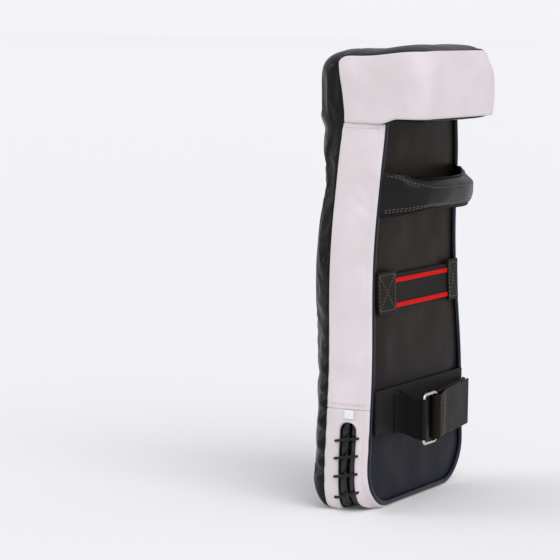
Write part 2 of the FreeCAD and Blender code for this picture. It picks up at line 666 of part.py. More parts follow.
for name, lift in (("loop_tape", strapThick / 2 + closureThick / 2),
                   ("hook_tape", strapThick / 2 + closureThick * 1.5)):
    ends = [alongInner(size("tongueEnd") - size("closureMargin"), lift),
            alongInner(size("meetOffset") + size("closureMargin"), lift)]
    closurePieces.append(feature(name, ribbon(ends, closureThick, size("closureTall"))))

# the outer layer turns about its outside surface at the stitched line
hinge = foldLine + Vector(outerWay.y, -outerWay.x, 0) * (strapThick / 2)
print("tongue hinge x %.3f y %.3f, fold line x %.3f y %.3f" % (hinge.x, hinge.y, foldLine.x, foldLine.y))
print("ring hinge x %.3f y %.3f, bars %d" % (tabBar.x, tabBar.y, barCount))

# ------------------------------------------------------------ check and write
doc.recompute()
subParts = [frontCover, strikeFoam, sideRight, sideLeft, bottomStrip, slotFacingFront, slotFacingRear, lace,
            coreFoam, backingFoam, backPanel, rearPiping, headBand, headFoam, headUnderside, headTop, label,
            handleCover, handleCore, gripWebbing, elasticBand, *redTapes, *bandPatches, baseBand, ringTab,
            rectRing, armStrap, strapTongue, *closurePieces]
for item in doc.Objects:
    if "Invalid" in item.State or "Error" in item.State:
        raise RuntimeError("%s failed: %s" % (item.Label, item.State))
os.makedirs("parts", exist_ok=True)
for part in subParts:
    if part.Shape.isNull() or not part.Shape.isValid():
        raise RuntimeError("%s has no valid shape" % part.Label)
    extent = part.Shape.BoundBox
    print("%-22s %9.0f mm3  x %.1f..%.1f  y %.1f..%.1f  z %.1f..%.1f" % (
        part.Label, part.Shape.Volume, extent.XMin, extent.XMax, extent.YMin, extent.YMax,
        extent.ZMin, extent.ZMax))
    part.Shape.exportStep("parts/%s.step" % part.Label)
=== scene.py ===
import json
import math

import bmesh
import bpy
import numpy as np
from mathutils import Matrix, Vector


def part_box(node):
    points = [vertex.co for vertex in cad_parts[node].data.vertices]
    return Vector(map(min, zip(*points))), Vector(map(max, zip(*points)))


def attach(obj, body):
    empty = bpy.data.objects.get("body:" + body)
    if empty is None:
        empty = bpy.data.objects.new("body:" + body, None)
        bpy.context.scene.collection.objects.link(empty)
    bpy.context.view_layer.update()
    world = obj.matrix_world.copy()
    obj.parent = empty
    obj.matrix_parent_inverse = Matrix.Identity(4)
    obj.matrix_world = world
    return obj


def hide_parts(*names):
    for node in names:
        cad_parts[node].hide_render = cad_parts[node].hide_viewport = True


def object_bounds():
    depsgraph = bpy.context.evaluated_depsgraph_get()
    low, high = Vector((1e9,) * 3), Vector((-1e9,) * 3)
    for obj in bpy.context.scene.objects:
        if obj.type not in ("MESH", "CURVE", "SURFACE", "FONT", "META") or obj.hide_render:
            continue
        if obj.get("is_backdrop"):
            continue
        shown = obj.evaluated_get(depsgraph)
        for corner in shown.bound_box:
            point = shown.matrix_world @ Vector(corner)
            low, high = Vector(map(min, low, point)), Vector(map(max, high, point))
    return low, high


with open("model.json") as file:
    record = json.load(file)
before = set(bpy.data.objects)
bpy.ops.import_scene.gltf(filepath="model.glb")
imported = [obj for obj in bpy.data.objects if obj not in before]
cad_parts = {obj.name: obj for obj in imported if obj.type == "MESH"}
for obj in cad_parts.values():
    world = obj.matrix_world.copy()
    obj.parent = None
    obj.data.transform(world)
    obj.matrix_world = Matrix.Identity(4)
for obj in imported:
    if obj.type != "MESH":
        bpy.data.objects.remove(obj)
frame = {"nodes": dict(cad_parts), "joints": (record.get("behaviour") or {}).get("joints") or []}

cadLow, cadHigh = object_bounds()
scene = bpy.context.scene
mm = 0.001


def cadBox(node):
    # lowest and highest corner of a CAD node, in millimetres
    low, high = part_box(node)
    return np.array(low) / mm, np.array(high) / mm


# sizes shared by the pad's pieces, read from the frame
stripLow, stripHigh = cadBox("side_strip_right")
headHigh = cadBox("head_band")[1]
panelHigh = cadBox("back_panel")[1]
pad = {
    "leather": 3.0,            # cover leather with its lining, as in the CAD
    "cornerRadius": 40.0,      # bottom corners
    "frontSeam": stripLow[1],
    "rearFace": panelHigh[1],
    "neckHeight": stripHigh[2],
    "stripSeam": stripLow[2],
    "padHeight": cadHigh[2] / mm,
    "headHalf": headHigh[0],
    "headRear": headHigh[1],
}
neckHalf = stripLow[0] + pad["leather"]
sideNames = {1: "right", -1: "left"}
pad["lean"] = (stripHigh[0] - neckHalf) / (pad["neckHeight"] - pad["stripSeam"])
pad["footHalf"] = stripHigh[0] + pad["lean"] * pad["stripSeam"]
cornerTurn = math.pi / 2 + math.atan(pad["lean"])
flatHalf = pad["footHalf"] - pad["cornerRadius"] * math.tan(cornerTurn / 2)
cornerLength = pad["cornerRadius"] * cornerTurn


def smooth(value, start, end):
    # 0 before start, 1 after end, an S curve between
    t = np.clip((value - start) / (end - start), 0, 1)
    return t * t * (3 - 2 * t)


def hump(value, middle, width):
    # a bell curve, 1 at its middle
    return np.exp(-((value - middle) / width) ** 2)


def halfWidthAt(z, inset=0.0, square=2.0):
    # half the body's width at a height: straight leaning sides on a superellipse corner
    radius = pad["cornerRadius"] - inset
    side = pad["footHalf"] - pad["lean"] * z - inset
    below = np.clip((pad["cornerRadius"] - z) / radius, 0, 1)
    corner = flatHalf + radius * (1 - below ** square) ** (1 / square)
    return np.where(z < pad["cornerRadius"] * 0.93, np.minimum(corner, side), side)


def outlineAt(distance, inset=0.0, square=2.0):
    # x, z and outward direction at a distance along the outline from the bottom's middle;
    # the corner is a superellipse, a circle where square is 2
    side = np.where(distance < 0, -1.0, 1.0)
    run = np.abs(distance)
    turn = np.clip((run - flatHalf) / pad["cornerRadius"], 0, cornerTurn)
    outX, outZ = np.sin(turn), -np.cos(turn)
    fuller = (np.abs(outX) ** square + np.abs(outZ) ** square) ** (-1 / square)
    radius = pad["cornerRadius"] * fuller - inset
    beyond = np.maximum(run - flatHalf - cornerLength, 0)
    x = np.minimum(run, flatHalf) + outX * radius + math.cos(cornerTurn) * beyond
    z = pad["cornerRadius"] + outZ * radius + math.sin(cornerTurn) * beyond
    return side * x, z, side * outX, outZ


def squareAt(y):
    # the corner's exponent: nearly square at the front seam, a circle at the back
    return 2.0 + 4.0 * smooth(y, 18, -8)


def raised(distance, y, lift, square=2.0):
    # points at depth y that stand off the outline by lift
    x, z, outX, outZ = outlineAt(distance, 0, square)
    return np.stack([x + outX * lift, y + 0 * x, z + outZ * lift], axis=-1)


def outlineDistance(height):
    # the distance along the outline at which its straight side reaches a height
    cornerTop = pad["cornerRadius"] * (1 - math.cos(cornerTurn))
    return flatHalf + cornerLength + (height - cornerTop) / math.sin(cornerTurn)


def ripple(a, b, shortest, longest, seed, slant=0.0, spread=math.pi):
    # smooth random relief, about -1 to 1: a sum of plane waves of random direction and phase
    chance = np.random.RandomState(seed)
    total = 0.0
    waves = 18
    for _ in range(waves):
        length = shortest * (longest / shortest) ** chance.rand()
        heading = slant + (chance.rand() - 0.5) * spread
        phase = chance.rand() * 2 * math.pi
        along = a * math.cos(heading) + b * math.sin(heading)
        total = total + np.sin(along * 2 * math.pi / length + phase)
    return total / math.sqrt(waves)


stuffed = {
    "wider": 0.028,            # the filled body spreads a little past its pattern
    "bow": 4.2,                # and its middle sits forward of its ends
}


def asStuffed(points):
    # x grows by a share over the body's height, y moves forward in a sine squared hump
    z = points[..., 2:3]
    spread = smooth(z, -6, 30) * (1 - smooth(z, 296, pad["neckHeight"]))
    hump = np.sin(math.pi * np.clip((z - 104) / (pad["neckHeight"] - 104), 0, 1)) ** 2
    x = points[..., 0:1] * (1 + stuffed["wider"] * spread)
    return np.concatenate([x, points[..., 1:2] - stuffed["bow"] * hump, z], axis=-1)


# meshes
def unit(vectors):
    # every vector made one long
    return vectors / np.linalg.norm(vectors, axis=-1, keepdims=True)


def runAlong(points):
    # the distance along a polyline at each of its points
    return np.concatenate([[0], np.cumsum(np.linalg.norm(np.diff(points, axis=0), axis=1))])


def circle(count):
    # points round a circle of radius 1
    turn = np.linspace(0, 2 * math.pi, count, endpoint=False)
    return np.stack([np.cos(turn), np.sin(turn)], axis=-1)


def upwardFor(path):
    # straight up at every point of a path
    return np.tile([0.0, 0.0, 1.0], (len(path), 1))


def editMesh(piece, edit):
    # one bmesh operation on a piece's mesh
    work = bmesh.new()
    work.from_mesh(piece.data)
    edit(work)
    work.to_mesh(piece.data)
    work.free()


def newPiece(name, vertices, faces, uv=None):
    # a smooth mesh from vertices in millimetres, with its own cloth map if given
    mesh = bpy.data.meshes.new(name)
    mesh.from_pydata((vertices * mm).tolist(), [], faces)
    if uv is not None:
        layer = mesh.uv_layers.new(name="cloth")
        flat = np.array(uv).reshape(-1, 2) * mm
        loopVertex = np.empty(len(mesh.loops), dtype=np.int32)
        mesh.loops.foreach_get("vertex_index", loopVertex)
        layer.data.foreach_set("uv", flat[loopVertex].ravel())
    mesh.polygons.foreach_set("use_smooth", np.ones(len(mesh.polygons), dtype=bool))
    piece = bpy.data.objects.new(name, mesh)
    scene.collection.objects.link(piece)
    return piece


def gridObject(name, points, outside=None, closed=False, merge=False, uv=None, shaped=True):
    # a grid of points (rows, columns, 3) in millimetres as a mesh of quads; closed joins the
    # last column to the first and caps both ends, and the faces look away from outside
    rows, columns = points.shape[:2]
    points = asStuffed(points) if shaped else points
    index = np.arange(rows * columns).reshape(rows, columns)
    if closed:
        index = np.concatenate([index, index[:, :1]], axis=1)
    corners = np.stack([index[:-1, :-1], index[:-1, 1:], index[1:, 1:], index[1:, :-1]], axis=-1)
    corners = corners.reshape(-1, 4)
    quads = points.reshape(-1, 3)[corners]
    normal = np.cross(quads[:, 2] - quads[:, 0], quads[:, 3] - quads[:, 1])
    if closed:
        rowMiddle = points.mean(axis=1)
        outside = np.repeat((rowMiddle[:-1] + rowMiddle[1:]) / 2, columns, axis=0)
    inverted = (normal * (quads.mean(axis=1) - np.array(outside))).sum() < 0
    faces = (corners[:, ::-1] if inverted else corners).tolist()
    if closed:
        first, last = index[0, :columns].tolist(), index[-1, :columns].tolist()
        faces += [first, last[::-1]] if inverted else [first[::-1], last]
    piece = newPiece(name, points.reshape(-1, 3), faces, uv)
    if merge:
        editMesh(piece, lambda work: bmesh.ops.remove_doubles(work, verts=work.verts, dist=0.02 * mm))
    return piece


def place(piece, material, slotName, body="pad", replaced=(), fill=None, thick=None):
    # finish, body, what it stands for (not used), and the leather's thickness inwards from its surface
    piece.data.materials.clear()
    piece.data.materials.append(material)
    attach(piece, body)
    if replaced:
        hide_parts(*replaced)
    if thick is not None:
        wall = piece.modifiers.new("leather thickness", "SOLIDIFY")
        wall.thickness = thick * mm
        wall.offset = -1


def sweep(name, path, across, up, section, shaped=True):
    # a section (points of across, up) carried along a path, where across and up are
    # directions given at each path point
    section = np.broadcast_to(section, (len(path),) + section.shape[-2:])
    points = path[:, None, :] + across[:, None, :] * section[..., 0:1] + up[:, None, :] * section[..., 1:2]
    uv = np.stack([np.broadcast_to(runAlong(path)[:, None], points.shape[:2]), section[..., 1]], axis=-1)
    return gridObject(name, points, closed=True, uv=uv, shaped=shaped)


def roundedSection(thickness, tall, radius):
    # a rounded rectangle, thickness across and tall up, four points to a corner
    radius = min(radius, thickness / 2 - 0.01)
    corners = []
    for turn, (cx, cy) in enumerate(((1, 1), (-1, 1), (-1, -1), (1, -1))):
        angles = np.linspace(0, math.pi / 2, 4) + turn * math.pi / 2
        corners.append(np.stack([cx * (thickness / 2 - radius) + radius * np.cos(angles),
                                 cy * (tall / 2 - radius) + radius * np.sin(angles)], axis=-1))
    outline = np.concatenate(corners)
    # extra points down the two long faces, so that they can bow
    steps = np.linspace(1, -1, 9)[1:-1, None]
    left = outline[7] * (1 + steps) / 2 + outline[8] * (1 - steps) / 2
    right = outline[-1] * (1 + steps) / 2 + outline[0] * (1 - steps) / 2
    return np.concatenate([outline[:8], left, outline[8:], right])


def resample(points, spacing):
    # points every spacing along a polyline
    run = runAlong(points)
    where = np.linspace(0, run[-1], max(int(run[-1] / spacing), 2) + 1)
    return np.stack([np.interp(where, run, column) for column in points.T], axis=-1)


def strap(name, plan, height, tall, thickness, spacing=2.0, edge=0.7, shaped=False):
    # a flat strap on edge: plan is its centre line (x, y), or (x, y, height offset), or
    # (x, y, height offset, height of the strap)
    route = resample(np.array(plan, dtype=float), spacing)
    lift = route[:, 2] if route.shape[1] > 2 else np.zeros(len(route))
    path = np.column_stack([route[:, :2], lift + height])
    along = unit(np.gradient(np.column_stack([route[:, :2], 0 * lift]), axis=0))
    section = np.tile(roundedSection(thickness, tall, edge), (len(path), 1, 1))
    if route.shape[1] > 3:
        section[..., 1] *= (route[:, 3] / tall)[:, None]
    return sweep(name, path, np.cross(along, upwardFor(path)), upwardFor(path), section, shaped=shaped)


def stitchRow(name, runs, thread, shaped=True):
    # short raised stitches along each run of points; every stitch is a small bent capsule
    sides, rings = 6, 5
    spot = np.linspace(-1, 1, rings)
    girth = (thread["radius"] * np.sqrt(np.maximum(1 - spot ** 4, 0.02)))[:, None, None]
    rise = (thread["rise"] * (1 - spot ** 2) - 0.15)[:, None, None]
    angles = np.linspace(0, 2 * math.pi, sides, endpoint=False)[:, None]
    index = np.arange(rings * sides).reshape(rings, sides)
    turned = np.roll(index, -1, axis=1)
    capsule = np.concatenate([
        np.stack([index[:-1], turned[:-1], turned[1:], index[1:]], axis=-1).reshape(-1, 4),
        index[0][[[3, 2, 1, 0], [0, 5, 4, 3]]], index[-1][[[0, 1, 2, 3], [3, 4, 5, 0]]]])
    vertices = []
    for points, outward in runs:
        points = resample(np.array(points, dtype=float), 3.0)
        points = asStuffed(points) if shaped else points
        run = runAlong(points)
        count = max(int(run[-1] / thread["pitch"]), 1)
        spots = ((np.arange(count) + 0.5) * run[-1] / count)[:, None] + spot * thread["length"] / 2
        line = np.stack([np.interp(spots, run, column) for column in points.T], axis=-1)
        away = unit(np.array(outward, dtype=float))
        side = np.cross(unit(line[:, -1] - line[:, 0]), away)[:, None, None]
        ring = line[:, :, None] + rise * away + girth * (np.cos(angles) * side + np.sin(angles) * away)
        vertices.append(ring.reshape(-1, 3))
    vertices = np.concatenate(vertices)
    starts = np.arange(0, len(vertices), rings * sides)[:, None, None]
    piece = newPiece(name, vertices, (starts + capsule).reshape(-1, 4).tolist())
    editMesh(piece, lambda work: bmesh.ops.recalc_face_normals(work, faces=work.faces))
    return piece


# materials
def linear(hexText):
    # an sRGB hex value as the linear colour that the shader takes
    parts = [int(hexText[k:k + 2], 16) / 255 for k in (0, 2, 4)]
    return tuple(p / 12.92 if p <= 0.04045 else ((p + 0.055) / 1.055) ** 2.4 for p in parts) + (1.0,)


def setInputs(node, inputs):
    # inputs by name or in order: a value, a socket to link, or a node whose first output is linked
    for name, value in inputs.items() if isinstance(inputs, dict) else enumerate(inputs):
        if isinstance(value, bpy.types.Node):
            value = value.outputs[0]
        if isinstance(value, bpy.types.NodeSocket):
            node.id_data.links.new(value, node.inputs[name])
        else:
            node.inputs[name].default_value = value


def addNode(tree, kind, inputs=(), stops=(), **settings):
    # one node with its settings and links; kind may name its operation after a space, and
    # stops are a colour ramp's
    kind, *operation = kind.split()
    node = tree.nodes.new("ShaderNode" + kind)
    if operation:
        node.operation = operation[0]
    for name, value in settings.items():
        setattr(node, name, value)
    for number, (position, colour) in enumerate(stops):
        node.color_ramp.elements[number].position = position
        node.color_ramp.elements[number].color = linear(colour)
    setInputs(node, inputs)
    return node


def newMaterial(name, colour, roughness, **sockets):
    # a new material with its shader, and any further sockets by name
    material = bpy.data.materials.new(name)
    material.use_nodes = True
    shader = material.node_tree.nodes["Principled BSDF"]
    setInputs(shader, {"Base Color": linear(colour), "Roughness": roughness, "Specular IOR Level": 0.3})
    setInputs(shader, {socket.replace("_", " "): value for socket, value in sockets.items()})
    return material, material.node_tree, shader


leather = {
    "grain": 1.1,              # size of an embossed grain cell
    "grainDepth": 0.05,
    "grainWarp": 0.9,          # how far the cells are bent out of a regular pattern
    "crease": 7.0,             # fine soft creases of a stuffed cover
    "creaseDepth": 0.45,
}
target = {
    "height": 0.196,           # centre, metres
    "period": 0.017,           # between rings
    "line": 0.0022,
    "dot": 0.0035,
    "outer": 0.060,
    "front": -0.035,           # printed in front of this depth only
    "ink": "A9AAA0",
}


def addTarget(tree, coordinate, colour):
    # silver-grey screen print: thin rings round a centre dot, on the front only
    x, y, z = addNode(tree, "SeparateXYZ", [coordinate]).outputs
    height = addNode(tree, "Math SUBTRACT", [z, target["height"]])
    flat = addNode(tree, "CombineXYZ", {"X": x, "Z": height})
    distance = addNode(tree, "VectorMath LENGTH", [flat]).outputs["Value"]
    wrapped = addNode(tree, "Math PINGPONG", [distance, target["period"] / 2])
    line = addNode(tree, "Math GREATER_THAN", [wrapped, target["period"] / 2 - target["line"] / 2])
    dot = addNode(tree, "Math LESS_THAN", [distance, target["dot"]])
    share = addNode(tree, "Math MAXIMUM", [line, dot])
    for value, limit in ((distance, target["outer"]), (y, target["front"])):
        share = addNode(tree, "Math MULTIPLY", [share, addNode(tree, "Math LESS_THAN", [value, limit])])
    return addNode(tree, "Mix", {0: share, 6: colour, 7: linear(target["ink"])}, data_type="RGBA").outputs[2]


def leatherMaterial(name, dark, light, roughness, grainDepth=leather["grainDepth"], coat=0.0, low=None,
                    printed=False, specular=0.3, creaseShare=1.0):
    # polyurethane leathercloth: embossed cells under a thin satin film, so soft broad highlights
    material, tree, shader = newMaterial(name, dark, roughness, Coat_Weight=coat, Coat_Roughness=0.25,
                                         Specular_IOR_Level=specular)
    coordinate = addNode(tree, "TexCoord").outputs["Object"]
    mottle = addNode(tree, "TexNoise", {"Vector": coordinate, "Scale": 26.0, "Detail": 4.0})
    colour = addNode(tree, "ValToRGB", [mottle], [(0.32, dark), (0.68, light)])
    if low is not None:
        # painted reflection: a bluer shade towards the foot, standing in for bluish surroundings mirrored in
        # the lower panel
        height = addNode(tree, "SeparateXYZ", [coordinate]).outputs["Z"]
        reflectionHeight = addNode(tree, "Math MULTIPLY_ADD", [mottle, 0.08, height])
        share = addNode(tree, "MapRange", [reflectionHeight, 0.07, 0.20, 0.0, 1.0])
        reflectedBlue = addNode(tree, "ValToRGB", [mottle], [(0.32, low[0]), (0.68, low[1])])
        colour = addNode(tree, "Mix", {0: share, 6: reflectedBlue, 7: colour}, data_type="RGBA").outputs[2]
    if printed:
        colour = addTarget(tree, coordinate, colour)
    dull = addNode(tree, "MapRange", [mottle, 0.3, 0.7, roughness - 0.05, roughness + 0.07])
    warp = addNode(tree, "TexNoise", {"Vector": coordinate, "Scale": 400.0, "Detail": 1.0}).outputs["Color"]
    bent = addNode(tree, "VectorMath MULTIPLY_ADD", [warp, [leather["grainWarp"] * mm] * 3, coordinate])
    cells = addNode(tree, "TexVoronoi", {"Vector": bent, "Scale": 1000.0 / leather["grain"],
                                         "Smoothness": 0.6}, feature="SMOOTH_F1")
    creases = addNode(tree, "TexNoise", {"Vector": coordinate, "Scale": 1000.0 / leather["crease"] / 3,
                                         "Detail": 5.0, "Roughness": 0.55, "Distortion": 0.7})
    creaseBump = addNode(tree, "Bump", {"Height": creases, "Strength": 0.5,
                                        "Distance": leather["creaseDepth"] * creaseShare * mm})
    grainBump = addNode(tree, "Bump", {"Height": cells, "Strength": 0.35, "Distance": grainDepth * mm * 4,
                                       "Normal": creaseBump}, invert=True)
    setInputs(shader, {"Base Color": colour, "Roughness": dull, "Normal": grainBump})
    return material


def wovenMaterial(name, dark, light, roughness, along, across, depth, sheen=0.25, specular=0.3):
    # woven tape: raised yarns from two wave patterns on the tape's own length and width,
    # with the yarn spacing given in millimetres
    material, tree, shader = newMaterial(name, dark, roughness, Sheen_Weight=sheen, Sheen_Roughness=0.4,
                                         Specular_IOR_Level=specular)
    cloth = addNode(tree, "UVMap", uv_map="cloth")
    waves = []
    for part, spacing in zip(addNode(tree, "SeparateXYZ", [cloth]).outputs, (along, across)):
        turned = addNode(tree, "Math MULTIPLY", [part, 2 * math.pi / (spacing * mm)])
        waves.append(addNode(tree, "Math SINE", [turned]))
    product = addNode(tree, "Math MULTIPLY", waves)
    raised = addNode(tree, "Math MULTIPLY_ADD", [waves[1], 0.6, product])
    fuzz = addNode(tree, "TexNoise", {"Vector": cloth, "Scale": 900.0, "Detail": 3.0})
    height = addNode(tree, "Math MULTIPLY_ADD", [fuzz, 1.2, raised])
    # painted shade: the colour follows the yarn height, darker in the hollows between yarns and lighter on
    # their crowns
    weaveShadeShare = addNode(tree, "MapRange", [height, -1.2, 2.2, 0.0, 1.0])
    colour = addNode(tree, "ValToRGB", [weaveShadeShare], [(0.1, dark), (0.9, light)])
    bump = addNode(tree, "Bump", {"Height": height, "Strength": 0.6, "Distance": depth * mm})
    setInputs(shader, {"Base Color": colour, "Normal": bump})
    return material


def threadMaterial(name, dark, light):
    # bonded twisted yarn: fine filaments under a resin film, so a broken satin line of light
    material, tree, shader = newMaterial(name, dark, 0.5)
    coordinate = addNode(tree, "TexCoord").outputs["Object"]
    filaments = addNode(tree, "TexNoise", {"Vector": coordinate, "Scale": 2200.0, "Detail": 2.0})
    colour = addNode(tree, "ValToRGB", [filaments], [(0.3, dark), (0.7, light)])
    bump = addNode(tree, "Bump", {"Height": filaments, "Strength": 0.4, "Distance": 0.1 * mm})
    setInputs(shader, {"Base Color": colour, "Normal": bump})
    return material


blackLeather = leatherMaterial("black PU leathercloth, embossed", "0F0D0D", "171415", 0.36, specular=0.2)
# low: colours of a painted reflection, which turn the panel from its warm tone to bluer towards its foot
panelLeather = leatherMaterial("black PU leathercloth, back panel", "1B140C", "251C13", 0.5,
                               low=("14151E", "1F212D"), specular=0.1, creaseShare=0.5)
faceLeather = leatherMaterial("black PU leathercloth, printed", "0C0B0B", "141213", 0.36, printed=True,
                              specular=0.2)
whiteLeather = leatherMaterial("white PU leathercloth, embossed", "D8CFD1", "E2DADC", 0.45, grainDepth=0.03)
facingLeather = leatherMaterial("black PU leathercloth, glossy", "0D0C0E", "171517", 0.2, coat=0.4)
strapLeather = leatherMaterial("black split leather, pressed", "120D0A", "1B140F", 0.55, specular=0.12)
pipingLeather = leatherMaterial("navy PU piping", "0F0F1E", "191930", 0.35)
elasticCloth = wovenMaterial("black knitted elastic", "0B0A0A", "1B1918", 0.75, 0.9, 1.4, 0.25,
                             sheen=0.04, specular=0.15)
webbingCloth = wovenMaterial("black ribbed nylon webbing", "090807", "191715", 0.6, 1.3, 2.4, 0.3,
                             sheen=0.03, specular=0.15)
redTape = wovenMaterial("red woven polyester tape", "C40402", "E80E0A", 0.6, 0.8, 1.0, 0.15,
                        sheen=0.0, specular=0.08)
laceCord = wovenMaterial("black braided polyester lace", "0C0C12", "1C1C26", 0.6, 1.6, 1.6, 0.25, sheen=0.05)
labelCloth = wovenMaterial("white woven satin label", "E2E2EA", "F4F4FA", 0.5, 0.7, 0.7, 0.05)
threadYarn = threadMaterial("grey bonded polyester thread", "524E4A", "706B66")
blackThread = threadMaterial("black bonded polyester thread", "232122", "343132")
whiteThread = threadMaterial("white bonded polyester thread", "C4BBBA", "DAD2D1")
print("materials made")

# striking face: body and head in one panel
face = {
    "bodyDepth": 27.0,         # at the middle, in front of the seam
    "footDepth": 23.5,
    "neckDepth": 34.0,
    "headDepth": 42.0,
    "round": 2.3,              # exponent of the section: 2 is an ellipse, more is boxier
    "footRoll": 28.0,          # height over which the foot rounds off
    "headRoll": 27.0,
    "neckPinch": 0.2,          # depth of the crease under the head at the sides
    "neckPinchMiddle": 0.1,
    "headLean": 6.5,           # the head's front seam leans forward towards its top
    "puckerPitch": 16.0,       # gathers along the seam at the foot
    "puckerDepth": 3.3,
    "slack": 0.45,             # long soft creases all over
    "neckSlack": 0.4,          # creases under the head
    "cornerSlack": 1.2,        # slanting creases at the lower corners
    "columns": 150,
    "rowStep": 2.1,
}
lid = {
    "edge": 394.5,             # upper edge of the white band
    "frontDrop": 8.0,          # rounded off at its front ends
    "frontRun": 10.0,          # over this distance
    "crown": 7.5,
    "frontShare": 0.4,         # of the crown at the front edge
}


def lidAt(across, fromFront):
    # height of the head's top: an edge that drops towards its front corners, and a crown of
    # rounded profiles both ways; across is -1 to 1, fromFront in mm
    corner = 1 - np.clip(fromFront / lid["frontRun"], 0, 1)
    drop = lid["frontDrop"] * (1 - np.sqrt(np.clip(1 - corner ** 2, 0, 1))) * np.abs(across) ** 8
    ahead = 1 - (1 - lid["frontShare"]) * (1 - np.clip(fromFront / 12, 0, 1)) ** 2
    profile = (1 - np.abs(across) ** 5) * ahead
    return lid["edge"] - 1.6 - drop, profile


def frontSeamAt(z):
    # depth of the front seam at a height: forward a little above the neck, leaning on to the top
    return pad["frontSeam"] - 2.0 * smooth(z, 334, 310) - face["headLean"] * smooth(z, 342, 392)


def faceGrid():
    # rows go from the foot seam up to the top seam; each row is a half superellipse from
    # side seam to side seam, as deep as the profile at its height
    top = pad["padHeight"] - 1.0
    rise = np.linspace(0, math.pi / 2, 16)
    footRows = face["footRoll"] * (1 - np.cos(rise))
    headRows = top - face["headRoll"] * (1 - np.sin(rise))
    middle = top - face["headRoll"] - face["footRoll"]
    middleRows = face["footRoll"] + middle * np.linspace(0, 1, int(middle / face["rowStep"]))[1:-1]
    z = np.concatenate([footRows, middleRows, headRows])[:, None]
    power = face["round"]
    footFactor = np.where(z < face["footRoll"],
                          (1 - np.clip(1 - z / face["footRoll"], 0, 1) ** power) ** (1 / power), 1)
    headPart = np.clip((z - top + face["headRoll"]) / face["headRoll"], 0, 1)
    headFactor = (1 - headPart ** power) ** (1 / power)
    toHead = smooth(z, pad["neckHeight"] - 13, pad["neckHeight"] + 5)
    half = halfWidthAt(z, 0, squareAt(pad["frontSeam"])) * (1 - toHead) + (pad["headHalf"] + 0.3) * toHead
    half = half - 0.4 * hump(z, pad["neckHeight"] - 2, 5.0)
    depth = face["footDepth"] + (face["bodyDepth"] - face["footDepth"]) * smooth(z, 60, 170)
    depth = (depth + (face["neckDepth"] - face["bodyDepth"]) * smooth(z, 280, 326)) * (1 - toHead)
    half = half - 1.4 * headPart ** 3
    headDepth = face["headDepth"] + (frontSeamAt(z) - pad["frontSeam"])
    depth = (depth + headDepth * toHead) * footFactor * headFactor
    turn = np.linspace(0, math.pi, face["columns"])[None, :]
    cosine, sine = np.cos(turn), np.sin(turn)
    across = np.sign(cosine) * np.abs(cosine) ** (2 / power)
    out = sine ** (2 / power)
    pinch = face["neckPinchMiddle"] + (face["neckPinch"] - face["neckPinchMiddle"]) * np.abs(across) ** 1.5
    pinch = pinch * hump(z, pad["neckHeight"] - 9 + 4 * np.abs(across), 5.0) * np.minimum(out * 3, 1)
    x = half * across
    y = frontSeamAt(z) - np.maximum(depth, 0) * out + pinch
    # the last rows come down to the front edge of the head's top
    edge, profile = lidAt(across, 0.0)
    lidFront = edge + lid["crown"] * profile ** 0.6 + 0.5
    z = z + 0 * x - headPart ** 2 * (top - lidFront)
    return x, y, z, out, turn


def makeFace():
    x, y, z, out, turn = faceGrid()
    # distance from the side seam over the surface, and gathers that fade away from it
    fromSeam = np.minimum(turn, math.pi - turn) * 26
    side = np.sign(math.pi / 2 - turn)
    low = smooth(z, 215, 60) * smooth(z, 6, 30)
    phase = 0.9 * ripple(z, 0 * z, 40, 90, 5) + side
    lobe = np.abs(np.cos(z * math.pi / face["puckerPitch"] + phase / 2)) ** 0.7 - 0.6
    gather = lobe * 1.6 * hump(fromSeam, 4.5, 5.0)
    swell = face["puckerDepth"] * gather * low
    # slack: long soft creases, stronger under the head and across the lower corners
    sideNear = np.abs(x) / 90
    slack = face["slack"] * ripple(x, z, 26, 70, 11) * np.minimum(out * 1.5, 1)
    neck = face["neckSlack"] * hump(z, 318, 24) * (0.4 + sideNear)
    slack += neck * ripple(x, z, 14, 34, 21, slant=math.pi / 2, spread=0.9)
    corner = face["cornerSlack"] * hump(z, 52, 34) * sideNear ** 2
    slack += corner * ripple(x * np.sign(x + 1e-6), z, 18, 42, 31, slant=0.9, spread=0.8)
    slack *= np.minimum(out * 2, 1)
    outX = np.cos(turn) * (1 - out * 0.75)
    outY = -np.maximum(out, 0.15)
    size = np.sqrt(outX ** 2 + outY ** 2)
    x = x + (swell + slack) * outX / size
    y = y + (swell + slack) * outY / size
    # the border turns in at the seam
    points = np.stack([x, y, z], axis=-1)
    tuckSide = np.stack([x * 0.965, frontSeamAt(z) + 1.5, z], axis=-1)
    points = np.concatenate([tuckSide[:, :1], points, tuckSide[:, -1:]], axis=1)
    points = np.concatenate([points, points[-1:] + [0, 1.5, -3.0]])
    return gridObject("frontCover", points, outside=(0, 60, 200))


stuffing = {
    "pressure": 1.2,
    "frames": 14,
    "cap": 3.0,                # no point moves further than this
    "stiffness": 15.0,
    "shrink": -0.012,          # the cover grows by this share as it is filled
}


def coordinates(mesh):
    # every vertex of a mesh as one row of x, y and z
    found = np.empty(len(mesh.vertices) * 3)
    mesh.vertices.foreach_get("co", found)
    return found.reshape(-1, 3)


